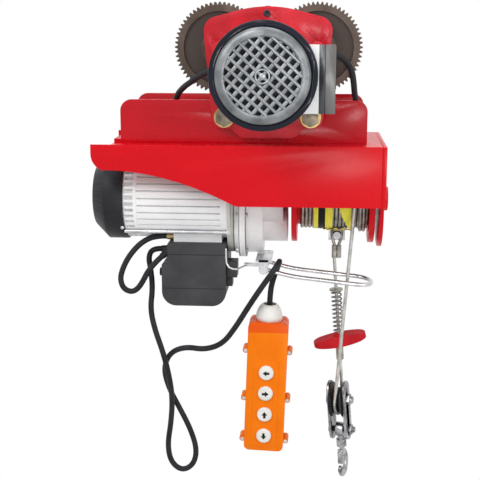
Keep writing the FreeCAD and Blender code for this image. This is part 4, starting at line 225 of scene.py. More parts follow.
# Handset: its gland's profiles are pairs of height over the handset's top and radius
HANDSET_X = 2.5
HANDSET_TOP = -400.0
HANDSET_TURN = 2.0
HANDSET_FRONT = -69.0
HANDSET_MIDDLE_Y = -45.0
GLAND_AROUND = 48
GLAND_BOWL = [
    (0.2, 21.0), (0.2, 22.0), (7.0, 22.0), (13.0, 21.0), (18.5, 19.2), (22.5, 16.8), (25.2, 14.4),
    (26.6, 13.0), (26.9, 12.4), (26.9, 10.6), (22.0, 9.8),
]
GLAND_MOUTH = [(20.0, 10.2), (26.6, 10.5)]
PANEL_HALF = 20.5
PANEL_TOP = -64.0
PANEL_LOW = -216.0
PANEL_CORNER = 6.0
PANEL_CORNER_STEPS = 7
PANEL_PROUD = 0.9
PANEL_SUNK = 0.5
PANEL_BEVEL = 0.6

# Buttons: names, places and turns of the arrows; the cap's profile of depth and radius; the arrow's outline
BUTTON_FRONT = -75.0
BUTTONS = [
    ("button_left", (-0.5, -484.9), 0.0), ("button_right", (-1.7, -520.9), 180.0),
    ("button_up", (-3.0, -557.9), -90.0), ("button_down", (-4.3, -595.9), 90.0),
]
BUTTON_DOME = [(0.0, 1.0), (0.15, 8.0), (0.5, 10.6), (1.3, 11.9), (2.6, 12.4), (10.0, 12.4)]
BUTTON_AROUND = 48
ARROW = [(-5.5, 0), (0.5, -4.6), (0.5, -1.9), (5.5, -1.9), (5.5, 1.9), (0.5, 1.9), (0.5, 4.6)]
ARROW_PROUD = 0.35
ARROW_SUNK = 0.3

# Cord routes, the same points as the solids follow
CABLE_RADIUS = 4.7
CABLE_STEPS = 10
CABLE_ROUNDING = 5
MOTOR_LEAD = [
    (-169, -30, -264), (-190, -30, -264), (-213, -38, -275), (-232, -46, -297), (-243, -49, -320),
    (-246, -50, -337), (-240, -50, -352), (-225, -50, -357), (-212, -48, -346), (-197.1, -42, -315.2),
    (-176.4, -42, -296.4),
]
PENDANT_LEAD = [
    (-180, -20, -288), (-195, -20, -288), (-203, -20, -302), (-199, -22, -324), (-195, -30, -354),
    (-198, -40, -388), (-190, -46, -422), (-177, -49, -458), (-167, -50, -498), (-161, -50, -540),
    (-164, -50, -585), (-171, -49, -627), (-166, -47, -660), (-147, -44, -677), (-127, -42, -666),
    (-121, -40, -638), (-133, -38, -600), (-152, -36, -563), (-170, -35, -528), (-178, -35, -493),
    (-166, -36, -465), (-139, -40, -453), (-105, -45, -456), (-74, -52, -442), (-52, -60, -410),
    (-33, -67, -377), (-13, -75, -344), (7, -81, -314), (19, -73, -297), (20, -57, -296),
    (15, -49, -313), (8, -46, -333), (4.14, -45, -353), (3.44, -45, -373),
]
TRAVEL_LEAD_LEFT = [
    (-66, -150, 14), (-82, -136, 13), (-99, -118, 6), (-117, -100, -6), (-131, -84, -15),
    (-145, -66, -29), (-152, -58, -58), (-152, -58, -97),
]
TRAVEL_LEAD_RIGHT = [
    (96, -132, 36), (96, -117, 36), (113, -106, 33), (128, -100, 15), (132, -95, -7),
    (134, -82, -25), (138, -66, -40), (142, -54, -65), (142, -54, -97),
]

# Leads: name, route, length in metres and the node that each stands for
LEADS = [
    ("pendant_lead", PENDANT_LEAD, 1.02, "pendant_cable"),
    ("motor_lead", MOTOR_LEAD, 0.2285, "cable_runs"),
    ("travel_lead_left", TRAVEL_LEAD_LEFT, 0.193, "cable_runs"),
    ("travel_lead_right", TRAVEL_LEAD_RIGHT, 0.184, "cable_runs"),
]


# Shader groups shared by the finishes

def new_group(name, inputs, outputs):
    """Empty shader group with float sockets; returns the tree, its input node and its output node."""
    tree = bpy.data.node_groups.new(name, "ShaderNodeTree")
    for label, value in inputs:
        socket = tree.interface.new_socket(label, in_out="INPUT", socket_type="NodeSocketFloat")
        socket.default_value = value
    for label, kind in outputs:
        tree.interface.new_socket(label, in_out="OUTPUT", socket_type=kind)
    return tree, tree.nodes.new("NodeGroupInput"), tree.nodes.new("NodeGroupOutput")


def grain_group():
    """Two noises on Object coordinates: fine grain and slow patches, put out as masks from 0 to 1."""
    tree, given, result = new_group(
        "Grain and patches",
        [("Grain scale", 600.0), ("Patch scale", 14.0), ("Grain depth", 0.5)],
        [("Grain", "NodeSocketFloat"), ("Patches", "NodeSocketFloat"), ("Height", "NodeSocketFloat")],
    )
    nodes, links = tree.nodes, tree.links
    place = nodes.new("ShaderNodeTexCoord")
    grain = nodes.new("ShaderNodeTexNoise")
    grain.inputs["Detail"].default_value = 3.0
    patches = nodes.new("ShaderNodeTexNoise")
    patches.inputs["Detail"].default_value = 4.0
    patches.inputs["Roughness"].default_value = 0.6
    height = nodes.new("ShaderNodeMath")
    height.operation = "MULTIPLY"
    links.new(place.outputs["Object"], grain.inputs["Vector"])
    links.new(place.outputs["Object"], patches.inputs["Vector"])
    links.new(given.outputs["Grain scale"], grain.inputs["Scale"])
    links.new(given.outputs["Patch scale"], patches.inputs["Scale"])
    links.new(grain.outputs["Fac"], height.inputs[0])
    links.new(given.outputs["Grain depth"], height.inputs[1])
    links.new(grain.outputs["Fac"], result.inputs["Grain"])
    links.new(patches.outputs["Fac"], result.inputs["Patches"])
    links.new(height.outputs[0], result.inputs["Height"])
    return tree


def zone_group():
    """Masks that are 1 where the Object coordinate lies between two limits, one mask for each axis."""
    tree, given, result = new_group(
        "Zones", [("Low", 0.0), ("High", 1.0)], [(axis + " zone", "NodeSocketFloat") for axis in "XYZ"],
    )
    nodes, links = tree.nodes, tree.links
    place = nodes.new("ShaderNodeTexCoord")
    split = nodes.new("ShaderNodeSeparateXYZ")
    links.new(place.outputs["Object"], split.inputs["Vector"])
    for axis in "XYZ":
        above = nodes.new("ShaderNodeMath")
        above.operation = "GREATER_THAN"
        below = nodes.new("ShaderNodeMath")
        below.operation = "LESS_THAN"
        both = nodes.new("ShaderNodeMath")
        both.operation = "MULTIPLY"
        links.new(split.outputs[axis], above.inputs[0])
        links.new(given.outputs["Low"], above.inputs[1])
        links.new(split.outputs[axis], below.inputs[0])
        links.new(given.outputs["High"], below.inputs[1])
        links.new(above.outputs[0], both.inputs[0])
        links.new(below.outputs[0], both.inputs[1])
        links.new(both.outputs[0], result.inputs[axis + " zone"])
    return tree


GRAIN = grain_group()
ZONES = zone_group()


def linear(red, green, blue):
    """Linear colour of an 8-bit display colour."""
    def channel(value):
        share = value / 255.0
        return share / 12.92 if share <= 0.04045 else ((share + 0.055) / 1.055) ** 2.4
    return channel(red), channel(green), channel(blue), 1.0


def finish(name, light, dark, metal=0.0, rough=(0.35, 0.5), grain=(600.0, 14.0), bump=0.1, depth=0.3,
           coat=0.0, patch_share=(0.35, 0.65), gloss=0.14):
    """Principled finish between two 8-bit tones by patches, with roughness and bump by its grain."""
    material = bpy.data.materials.new(name)
    material.use_nodes = True
    nodes, links = material.node_tree.nodes, material.node_tree.links
    shader = nodes["Principled BSDF"]
    group = nodes.new("ShaderNodeGroup")
    group.node_tree = GRAIN
    group.inputs["Grain scale"].default_value = grain[0]
    group.inputs["Patch scale"].default_value = grain[1]
    group.inputs["Grain depth"].default_value = depth
    share = nodes.new("ShaderNodeMapRange")
    share.inputs["From Min"].default_value = patch_share[0]
    share.inputs["From Max"].default_value = patch_share[1]
    tones = nodes.new("ShaderNodeMix")
    tones.data_type = "RGBA"
    tones.inputs["A"].default_value = linear(*dark)
    tones.inputs["B"].default_value = linear(*light)
    roughness = nodes.new("ShaderNodeMapRange")
    roughness.inputs["To Min"].default_value = rough[0]
    roughness.inputs["To Max"].default_value = rough[1]
    relief = nodes.new("ShaderNodeBump")
    relief.inputs["Strength"].default_value = bump
    relief.inputs["Distance"].default_value = MM
    links.new(group.outputs["Patches"], share.inputs["Value"])
    links.new(share.outputs["Result"], tones.inputs["Factor"])
    links.new(tones.outputs["Result"], shader.inputs["Base Color"])
    links.new(group.outputs["Grain"], roughness.inputs["Value"])
    links.new(roughness.outputs["Result"], shader.inputs["Roughness"])
    links.new(group.outputs["Height"], relief.inputs["Height"])
    links.new(relief.outputs["Normal"], shader.inputs["Normal"])
    shader.inputs["Metallic"].default_value = metal
    shader.inputs["Specular IOR Level"].default_value = METAL_SPECULAR if metal > METAL_FROM else gloss
    shader.inputs["Coat Weight"].default_value = coat
    shader.inputs["Coat Roughness"].default_value = COAT_ROUGHNESS
    return material


def zoned(material, axis, low, high, colour, metal=None):
    """Paints a zone between two limits along one axis over a finish."""
    nodes, links = material.node_tree.nodes, material.node_tree.links
    shader = nodes["Principled BSDF"]
    group = nodes.new("ShaderNodeGroup")
    group.node_tree = ZONES
    group.inputs["Low"].default_value = low * MM
    group.inputs["High"].default_value = high * MM
    paint = nodes.new("ShaderNodeMix")
    paint.data_type = "RGBA"
    paint.inputs["B"].default_value = linear(*colour)
    under = shader.inputs["Base Color"].links[0].from_socket
    links.new(group.outputs[axis + " zone"], paint.inputs["Factor"])
    links.new(under, paint.inputs["A"])
    links.new(paint.outputs["Result"], shader.inputs["Base Color"])
    if metal is not None:
        blend = nodes.new("ShaderNodeMapRange")
        blend.inputs["To Min"].default_value = shader.inputs["Metallic"].default_value
        blend.inputs["To Max"].default_value = metal
        links.new(group.outputs[axis + " zone"], blend.inputs["Value"])
        links.new(blend.outputs["Result"], shader.inputs["Metallic"])


red_sheet = finish(
    "red enamel on sheet", (224, 12, 28), (214, 9, 25), rough=(0.22, 0.34), grain=(160.0, 9.0),
    bump=0.05, coat=0.04,
)
# The hanger's red is a darker copy of the red enamel: painted shade for the shade the hanger hangs in.
shade_darkened_hanger_red = finish(
    "red enamel darkened as painted shade on the hanger", (200, 10, 30), (186, 7, 26), rough=(0.22, 0.34), grain=(160.0, 9.0),
    bump=0.05, coat=0.06, gloss=0.24,
)
red_casting = finish(
    "red enamel on rough casting", (212, 16, 40), (186, 8, 30), rough=(0.25, 0.42),
    grain=(420.0, 26.0), bump=0.55, depth=0.8, coat=0.12, gloss=0.3,
)
bright_casting = finish(
    "blasted die-cast aluminium", (254, 254, 254), (244, 245, 246), metal=0.1, rough=(0.34, 0.5),
    grain=(900.0, 20.0), bump=0.12,
)
grey_casting = finish(
    "grey cast grille", (142, 145, 147), (100, 103, 105), metal=0.85, rough=(0.3, 0.5),
    grain=(700.0, 30.0), bump=0.25, depth=0.5,
)
dark_wheel = finish(
    "oiled cast wheel", (104, 91, 83), (80, 69, 62), metal=0.45, rough=(0.4, 0.6), grain=(500.0, 24.0),
    bump=0.3, depth=0.5,
)
machined = finish(
    "machined steel", (190, 190, 192), (160, 160, 162), metal=0.95, rough=(0.25, 0.4),
    grain=(1200.0, 30.0), bump=0.05,
)
zinc = finish(
    "bright zinc plate", (218, 218, 220), (176, 176, 180), metal=0.95, rough=(0.16, 0.34),
    grain=(700.0, 35.0), bump=0.08,
)
rope_steel = finish(
    "galvanised rope wire", (176, 172, 162), (120, 117, 110), metal=0.85, rough=(0.3, 0.5),
    grain=(900.0, 90.0), bump=0.15,
)
black_cover = finish("black moulded cover", (48, 48, 52), (38, 38, 42), grain=(900.0, 18.0), bump=0.12)
grey_box = finish(
    "dark grey moulded box", (74, 74, 76), (58, 58, 60), rough=(0.38, 0.55), grain=(900.0, 18.0),
    bump=0.15,
)
orange_shell = finish(
    "orange moulded handset", (252, 130, 6), (248, 120, 2), rough=(0.3, 0.42), grain=(800.0, 22.0),
    bump=0.06,
)
white_moulding = finish(
    "white moulding", (242, 241, 236), (228, 226, 220), rough=(0.3, 0.42), grain=(800.0, 30.0),
    bump=0.05,
)
cable_jacket = finish(
    "black cable jacket", (48, 48, 52), (34, 34, 38), rough=(0.36, 0.5), grain=(900.0, 40.0),
    bump=0.08,
)
box_casting = finish(
    "grey cast terminal box", (112, 113, 118), (92, 93, 98), metal=0.6, grain=(700.0, 30.0), bump=0.2,
    depth=0.4,
)
laminations = finish(
    "stacked iron sheet", (120, 120, 120), (84, 84, 84), metal=0.8, rough=(0.4, 0.6),
    grain=(1200.0, 30.0), bump=0.2,
)
# The yellow band is paler and lighter than its own yellow: painted light that makes up for the apron's
# shadow over it.
yellow_band = finish(
    "yellow band", (255, 250, 100), (246, 236, 66), rough=(0.4, 0.55), grain=(600.0, 60.0), bump=0.08,
)
black_band = finish(
    "black stripe", (34, 34, 34), (20, 20, 20), rough=(0.4, 0.55), grain=(600.0, 60.0), bump=0.08,
)
# The flap is likewise lightened past its own yellow, as painted light against the apron's shadow.
yellow_flap = finish(
    "torn yellow flap", (255, 252, 100), (250, 246, 80), rough=(0.4, 0.55), grain=(600.0, 60.0),
    bump=0.08,
)
pale_paper = finish(
    "torn pale paper", (240, 226, 160), (214, 200, 40), rough=(0.5, 0.65), grain=(700.0, 120.0),
    bump=0.2, depth=0.5, patch_share=(0.45, 0.55),
)
dark_steel = finish("dark steel", (52, 52, 58), (36, 36, 40), metal=0.6, grain=(700.0, 30.0))
spring_steel = finish(
    "spring wire", (150, 150, 152), (96, 96, 98), metal=0.9, rough=(0.25, 0.4), grain=(700.0, 60.0),
    bump=0.08,
)
gloss_black = finish(
    "glossy black ring", (30, 33, 48), (22, 25, 36), rough=(0.12, 0.2), grain=(500.0, 16.0), bump=0.04,
    coat=0.12,
)
axle_finish = finish(
    "axle steel with painted heads", (190, 190, 192), (160, 160, 162), metal=0.95, rough=(0.25, 0.4),
    grain=(1200.0, 30.0), bump=0.05,
)
screw_finish = finish(
    "zinc screws with one dark top screw", (218, 218, 220), (176, 176, 180), metal=0.95,
    rough=(0.16, 0.34), grain=(700.0, 35.0), bump=0.08,
)
cover_finish = finish(
    "dark grey box cover", (74, 74, 76), (62, 62, 64), rough=(0.38, 0.55), grain=(900.0, 18.0),
    bump=0.15,
)
# A lighter copy of the grille's cast grey: painted highlight on the ribs, the boss and the round bar.
grille_bar_painted_highlight = finish(
    "grille bars lightened as painted highlight", (176, 179, 182), (140, 143, 146), metal=0.85, rough=(0.25, 0.4),
    grain=(700.0, 40.0), bump=0.15,
)
saddle_red = finish(
    "dull red moulding", (200, 40, 46), (186, 32, 40), rough=(0.5, 0.6), grain=(600.0, 30.0),
    bump=0.08, gloss=0.05,
)
dull_gold = finish(
    "dull yellow zinc", (190, 164, 112), (150, 126, 82), metal=0.9, rough=(0.3, 0.45),
    grain=(700.0, 60.0),
)
dull_bolt = finish(
    "dull plated bolt", (138, 128, 112), (96, 88, 76), metal=0.9, rough=(0.3, 0.5),
    grain=(700.0, 70.0), bump=0.12,
)
bright_rope = finish(
    "bright rope wire", (206, 205, 200), (166, 165, 160), metal=0.85, rough=(0.3, 0.45),
    grain=(900.0, 90.0), bump=0.12,
)
pale_bolt = finish(
    "pale plated bolts", (214, 214, 216), (176, 176, 180), metal=0.4, rough=(0.25, 0.4),
    grain=(700.0, 60.0), bump=0.08,
)
worn_steel = finish(
    "worn steel", (176, 176, 178), (112, 112, 114), metal=0.95, rough=(0.22, 0.4), grain=(700.0, 50.0),
    bump=0.12, depth=0.4, patch_share=(0.4, 0.6),
)
gland_finish = finish(
    "black gland nuts and one of brass", (48, 48, 50), (36, 36, 38), grain=(900.0, 40.0), bump=0.06,
)
gear_case = finish(
    "die-cast gear case", (252, 252, 252), (238, 238, 238), metal=0.12, rough=(0.34, 0.5),
    grain=(900.0, 20.0), bump=0.12,
)

# Painted zones: finish, axis, two limits, colour and, where it differs, how metallic the zone is
PAINTED = [
    (dark_wheel, "Y", -71.8, -70.2, (72, 64, 60)),
    (box_casting, "X", 88.6, 104.0, (128, 127, 125)),
    (box_casting, "X", 87.2, 88.6, (66, 66, 70)),
    (gland_finish, "Z", -275.0, -250.0, (176, 158, 116), 0.9),
    # The greyer olive band is painted shade from the gear case's ribs.
    (gear_case, "X", -66.6, -57.0, (210, 211, 205)),
    (gear_case, "X", -57.6, -55.4, (120, 121, 112)),
    (gear_case, "X", -48.0, -46.6, (120, 122, 116)),
    (gear_case, "X", -37.6, -36.4, (128, 128, 128)),
    (yellow_band, "X", 81.2, 92.6, (26, 26, 26)),
    (axle_finish, "Y", -200.0, -90.5, (212, 16, 34), 0.0),
    (screw_finish, "Z", 88.0, 110.0, (40, 40, 42), 0.3),
    (cover_finish, "Z", -291.2, -290.0, (38, 38, 40)),
    (cover_finish, "Z", -348.6, -347.4, (38, 38, 40)),
    # The darker orange band along the handset's top is painted shade of its sloped top edge.
    (orange_shell, "Z", -416.5, -399.0, (238, 92, 14)),
]
for zone in PAINTED:
    zoned(*zone)


# Mesh helpers

def array_mesh(name, vertices, faces, smooth=True):
    """Mesh from points in millimetres and faces that number them."""
    mesh = bpy.data.meshes.new(name)
    mesh.from_pydata((np.asarray(vertices) * MM).tolist(), [], [list(face) for face in faces])
    mesh.validate()
    mesh.polygons.foreach_set("use_smooth", np.full(len(mesh.polygons), smooth))
    return mesh


def placed(name, data, material):
    """Object in the scene with one material."""
    piece = bpy.data.objects.new(name, data)
    bpy.context.scene.collection.objects.link(piece)
    data.materials.clear()
    data.materials.append(material)
    return piece


def carried(piece, body):
    """Lets a piece ride on a body."""
    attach(piece, body)
    return piece


def mesh_piece(name, vertices, faces, material, body, slot, smooth=True):
    """New mesh object from points in millimetres, riding on a body."""
    return carried(placed(name, array_mesh(name, vertices, faces, smooth), material), body)


def grid_faces(rows, columns, wrap_columns=True, wrap_rows=False):
    """Quads of a grid of points numbered row by row, closed round its columns or rows where asked."""
    last_row = rows if wrap_rows else rows - 1
    last_column = columns if wrap_columns else columns - 1
    row, column = np.meshgrid(np.arange(last_row), np.arange(last_column), indexing="ij")
    next_row = (row + 1) % rows
    next_column = (column + 1) % columns
    quads = np.stack([
        row * columns + column, row * columns + next_column,
        next_row * columns + next_column, next_row * columns + column,
    ], axis=-1)
    return quads.reshape(-1, 4)


def capped_grid(rows, columns):
    """Quads of a grid closed round its columns, with one flat face at each open end."""
    first = list(range(columns))[::-1]
    last = list(range((rows - 1) * columns, rows * columns))
    return [list(face) for face in grid_faces(rows, columns)] + [first, last]


def merged(vertices, faces):
    """Joins points that lie on each other and drops the faces that have no area then."""
    points, number = np.unique(np.round(vertices, 6), axis=0, return_inverse=True)
    number = number.ravel()
    loops = []
    for face in faces:
        loop = [number[vertex] for vertex in face]
        loop = [vertex for k, vertex in enumerate(loop) if vertex != loop[k - 1]]
        if len(loop) > 2:
            loops.append(loop)
    return points, loops


def circle(around):
    """Equal angles once round, in radians."""
    return np.arange(around) * TAU / around


def carried_frames(path):
    """Two unit side vectors across the path at each of its points; they turn as little as they can."""
    tangent = np.gradient(path, axis=0)
    tangent /= np.linalg.norm(tangent, axis=1)[:, None]
    side = np.cross(tangent[0], SIDE_START)
    sides = []
    for direction in tangent:
        side = side - direction * np.dot(side, direction)
        side = side / np.linalg.norm(side)
        sides.append(side)
    sides = np.array(sides)
    return sides, np.cross(tangent, sides)


def swept(path, radius, around):
    """Points round a path: path point plus the radius times a unit circle in the plane across the path."""
    side, other = carried_frames(path)
    angle = circle(around)
    ring = side[:, None, :] * np.cos(angle)[:, None] + other[:, None, :] * np.sin(angle)[:, None]
    return (path[:, None, :] + radius * ring).reshape(-1, 3)


def rope_points(path, around):
    """Laid rope: at angle a and length s the radius is R(0.86 + 0.14 |cos(n/2 (a - 2 pi s / lay))|)."""
    path = np.asarray(path, float)
    step = np.linalg.norm(np.diff(path, axis=0), axis=1)
    length = np.concatenate([[0.0], np.cumsum(step)])
    turn = circle(around)[None, :] - TAU * length[:, None] / ROPE_LAY
    crest = np.abs(np.cos(ROPE_STRANDS / 2 * turn))
    swell = ROPE_RADIUS * (1.0 - STRAND_RELIEF + STRAND_RELIEF * crest)
    return swept(path, swell[..., None], around)


def rope_piece(name, path, body, around=ROPE_AROUND, material=rope_steel):
    """Laid rope along a path, riding on a body."""
    points = rope_points(path, around)
    return mesh_piece(name, points, capped_grid(len(path), around), material, body, "wire_rope")


def turned_points(centre, profile, around):
    """Rings about an axis along Y: p = centre + (r sin a, d, r cos a) for each profile pair (d, r)."""
    profile = np.asarray(profile, float)
    angle = circle(around)
    ring = np.stack([np.sin(angle), np.zeros(around), np.cos(angle)], axis=1)
    along = np.array([0, 1, 0])
    points = np.array(centre) + profile[:, None, 1:] * ring[None] + profile[:, None, :1] * along
    return points.reshape(-1, 3)


def turned_piece(name, centre, profile, material, body, slot, around):
    """Solid turned about an axis along Y, with flat ends."""
    points = turned_points(centre, profile, around)
    return mesh_piece(name, points, capped_grid(len(profile), around), material, body, slot)


def turned_ring(name, centre, profile, material, body, slot, around):
    """Ring turned about an axis along Y from a closed profile."""
    points = turned_points(centre, profile, around)
    return mesh_piece(name, points, grid_faces(len(profile), around, True, True), material, body, slot)


def barrel_points(angle, rows):
    """Rings about the hoist's axis: (x, r cos a, Z + r sin a) for each row of x and radii r at angles a."""
    rings = []
    for x, reach in rows:
        y = reach * np.cos(angle)
        z = HOIST_AXIS_Z + reach * np.sin(angle)
        rings.append(np.stack([np.full(len(angle), x), y, z], axis=1))
    return np.concatenate(rings)


def prism(outline, start, end):
    """Outline in X and Z, listed counter-clockwise, drawn out along Y; returns points and faces."""
    count = len(outline)
    vertices = [(x, y, z) for y in (start, end) for x, z in outline]
    faces = [list(range(count)), list(range(2 * count - 1, count - 1, -1))]
    faces += [[k, count + k, count + (k + 1) % count, (k + 1) % count] for k in range(count)]
    return vertices, faces


def joined(*shapes):
    """Points and faces of several shapes in one list."""
    vertices, faces = [], []
    for points, polygons in shapes:
        start = len(vertices)
        vertices += list(points)
        faces += [[start + v for v in polygon] for polygon in polygons]
    return vertices, faces


def round_outline(x, z, radius, first, last, count):
    """Points in X and Z on an arc between two angles."""
    angle = np.radians(np.linspace(first, last, count))
    return [(x + radius * math.cos(a), z + radius * math.sin(a)) for a in angle]


def straight(first, last, count):
    """Equally spaced points on a straight line."""
    share = np.linspace(0.0, 1.0, count)[:, None]
    return np.asarray(first) * (1 - share) + np.asarray(last) * share


def rounded(piece, width):
    """Rounds a piece's sharp edges over."""
    bevel = piece.modifiers.new("rounded edges", "BEVEL")
    bevel.width = width * MM
    bevel.segments = BEVEL_SEGMENTS
    bevel.limit_method = "ANGLE"
    return bevel


def softened(node, material, width):
    """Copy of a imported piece, flat faces merged and sharp edges rounded except where its solids touch."""
    source = frame["nodes"][node]
    mesh = source.data.copy()
    work = bmesh.new()
    work.from_mesh(mesh)
    bmesh.ops.remove_doubles(work, verts=work.verts, dist=MERGE_DISTANCE)
    bmesh.ops.dissolve_limit(
        work, angle_limit=math.radians(FLAT_ANGLE), verts=work.verts, edges=work.edges,
        use_dissolve_boundaries=False,
    )
    touching = {vertex for edge in work.edges if len(edge.link_faces) > 2 for vertex in edge.verts}
    if touching:
        weight = work.edges.layers.float.new("bevel_weight_edge")
        for edge in work.edges:
            sharp = len(edge.link_faces) == 2 and edge.calc_face_angle() > math.radians(SHARP_ANGLE)
            edge[weight] = float(sharp and not touching.intersection(edge.verts))
        inner = [
            face for face in work.faces
            if touching.issuperset(face.verts) and any(len(edge.link_faces) == 3 for edge in face.edges)
        ]
        bmesh.ops.delete(work, geom=inner, context="FACES_ONLY")
    work.to_mesh(mesh)
    work.free()
    mesh.polygons.foreach_set("use_smooth", np.ones(len(mesh.polygons), bool))
    piece = carried(placed("soft_" + node, mesh, material), source["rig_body"])
    bevel = rounded(piece, width)
    bevel.limit_method = "WEIGHT" if touching else "ANGLE"
    bevel.angle_limit = math.radians(SHARP_ANGLE)
    bevel.use_clamp_overlap = True
    bevel.harden_normals = True
    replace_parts(piece, node)


# Cables

def lead(name, route, length, node):
    """Round cable on one smooth spline with the route's points as its control points."""
    curve = bpy.data.curves.new(name, "CURVE")
    curve.dimensions = "3D"
    curve.bevel_depth = CABLE_RADIUS * MM
    curve.bevel_resolution = CABLE_ROUNDING
    curve.resolution_u = CABLE_STEPS
    curve.use_fill_caps = True
    spline = curve.splines.new("NURBS")
    spline.points.add(len(route) - 1)
    for spot, place in zip(spline.points, route):
        spot.co = (*[value * MM for value in place], 1.0)
    spline.order_u = 3
    spline.use_endpoint_u = True
    piece = carried(placed(name, curve, cable_jacket), "frame")
    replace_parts(piece, node)


for row in LEADS:
    lead(*row)


# Rope

def wound_layer(left, right, radius, sense):
    """One layer on the drum: x = left + R + pitch a / 2 pi, y and z on a circle of the layer's radius."""
    turns = round((right - left) / (2 * ROPE_RADIUS)) - 1
    pitch = (right - left - 2 * ROPE_RADIUS) / turns
    angle = np.linspace(0.0, TAU * turns, WOUND_STEPS * turns)
    along = left + ROPE_RADIUS + pitch * angle / TAU
    return np.stack([
        along, -radius * np.cos(angle), HOIST_AXIS_Z + sense * radius * np.sin(angle),
    ], axis=1)


def wound_rope():
    """Rope on the drum, one layer over its whole width and part of a second one at the right."""
    first_radius = DRUM_CORE_RADIUS + ROPE_RADIUS
    first = wound_layer(WOUND_LEFT, WOUND_RIGHT, first_radius, 1)
    second = wound_layer(SECOND_LAYER_LEFT, WOUND_RIGHT, first_radius + SECOND_LAYER_STEP, -1)
    for name, path in (("wound_rope_first", first), ("wound_rope_second", second)):
        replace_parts(rope_piece(name, path, "drum", WOUND_AROUND), "wound_rope")


def leaned(points):
    """Turns points drawn upright about the sheave's centre to its leaning place."""
    lean = math.radians(-BLOCK_LEAN)
    turn = math.radians(-BLOCK_TURN)
    x = points[:, 0] * math.cos(turn) - points[:, 1] * math.sin(turn)
    y = points[:, 0] * math.sin(turn) + points[:, 1] * math.cos(turn)
    z = points[:, 2]
    turned = np.stack([
        x * math.cos(lean) + z * math.sin(lean), y, -x * math.sin(lean) + z * math.cos(lean),
    ], axis=1)
    return turned + np.array(SHEAVE_CENTRE)


def stretching(name, vertices, faces, material, node):
    """Mesh piece in place of an imported node, with its place baked into its points."""
    piece = placed(name, array_mesh(name, vertices, faces), material)
    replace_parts(piece, node)
    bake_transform(piece)


def free_fall(name, node, first, last):
    """Straight rope from a place on the frame to one on the hook block."""
    points = rope_points(straight(first, last, FALL_STEPS), ROPE_AROUND)
    faces = capped_grid(FALL_STEPS, ROPE_AROUND)
    stretching(name, points, faces, bright_rope, node)


def saddle_spring(first, last):
    """Coil with unit sides u and v: p = first + s (last - first) + r (u cos t + v sin t)."""
    side, other = carried_frames(np.array([first, last]))
    share = np.linspace(0.0, 1.0, SPRING_STEPS)[:, None]
    turn = TAU * SPRING_TURNS * share
    ring = side[0] * np.cos(turn) + other[0] * np.sin(turn)
    coil = first + (last - first) * share + SPRING_COIL_RADIUS * ring
    points = swept(coil, SPRING_WIRE_RADIUS, SPRING_AROUND)
    faces = capped_grid(SPRING_STEPS, SPRING_AROUND)
    stretching("saddle_spring", points, faces, spring_steel, "limit_spring")


def rope_falls():
    """Two straight falls, the half turn under the sheave, and the spring."""
    half_turn = np.linspace(math.pi, TAU, ARC_STEPS)
    arc = leaned(np.stack([
        np.zeros(ARC_STEPS), SHEAVE_ROPE_RADIUS * np.cos(half_turn), SHEAVE_ROPE_RADIUS * np.sin(half_turn),
    ], axis=1))
    rope_piece("sheave_rope", arc, "hook_block")
    top, low = np.array(DEAD_TOP), arc[-1]

    def on_fall(z):
        return top + (low - top) * (z - top[2]) / (low[2] - top[2])

    sleeve = on_fall(SLEEVE_LOW)
    free_fall("live_fall", "live_rope_fall", LIVE_TOP, arc[0])
    held = rope_piece("anchored_fall_held", straight(top, sleeve, HELD_STEPS), "frame", material=bright_rope)
    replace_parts(held, "dead_rope_fall")
    free_fall("anchored_fall_free", "dead_rope_fall", sleeve, low)
    saddle_spring(on_fall(SPRING_TOP - SPRING_WIRE_RADIUS), on_fall(SPRING_LOW + SPRING_WIRE_RADIUS))


wound_rope()
rope_falls()


# Torn band round the wound rope

def torn_band(name, left, right, top, low_edge, lift, material):
    """Sheet at angle f below the drum's front: (x, -r cos f, Z - r sin f), r = R + lift(x, share down)."""
    x = np.linspace(left, right, BAND_COLUMNS)[None, :] * np.ones((BAND_ROWS, 1))
    share = np.linspace(0.0, 1.0, BAND_ROWS)[:, None] * np.ones((1, BAND_COLUMNS))
    angle = np.radians(top + (low_edge(x) - top) * share)
    radius = DRUM_CORE_RADIUS + 2 * ROPE_RADIUS + BAND_GAP + lift(x, share)
    points = np.stack([x, -radius * np.cos(angle), HOIST_AXIS_Z - radius * np.sin(angle)], axis=-1)
    faces = grid_faces(BAND_ROWS, BAND_COLUMNS, False)
    piece = mesh_piece(name, points.reshape(-1, 3), faces, material, "drum", "wire_rope")
    thick = piece.modifiers.new("paper thickness", "SOLIDIFY")
    thick.thickness = BAND_THICK * MM
    thick.offset = 1.0


# The three torn pieces: ends, upper angle, lower edge by x, lift by x and share, finish
torn_band("band_left", 74.0, 104.5, -35.0, lambda x: 84 + 4 * np.sin(x * 0.55) + 2 * np.sin(x * 1.7),
          lambda x, share: 0.25 * np.sin(x * 1.05) * share, yellow_band)
torn_band("band_flap", 116.0, 134.5, -35.0, lambda x: 14 + 2.9 * (x - 116) + 2 * np.sin(x * 1.9),
          lambda x, share: 2.6 * share ** 3, yellow_flap)
torn_band("band_crumple", 90.0, 136.0, 66.0, lambda x: 86 + 5 * np.sin(x * 0.42) + 3 * np.sin(x * 1.3),
          lambda x, share: 1.6 + 1.4 * np.sin(x * 0.5 + 4 * share), pale_paper)


# Hoist motor

def end_ring():
    """Vented ring: r(x, a) = R(x) - c(x) s(a), with s a square wave of 40 slots and c the slot's depth."""
    step = TAU / RING_SLOTS
    angle = (np.arange(RING_SLOTS)[:, None] * step + np.array(RING_SLOT_EDGES) * step).ravel()
    in_slot = np.tile(RING_SLOT_CUT, RING_SLOTS)
    points = barrel_points(angle, [(x, radius - cut * in_slot) for x, radius, cut in RING_ROWS])
    faces = grid_faces(len(RING_ROWS), len(angle), True, True)
    piece = mesh_piece("vented_end_ring", points, faces, bright_casting, "frame", "cast_aluminium", False)
    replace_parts(piece, "hoist_motor_end_ring")


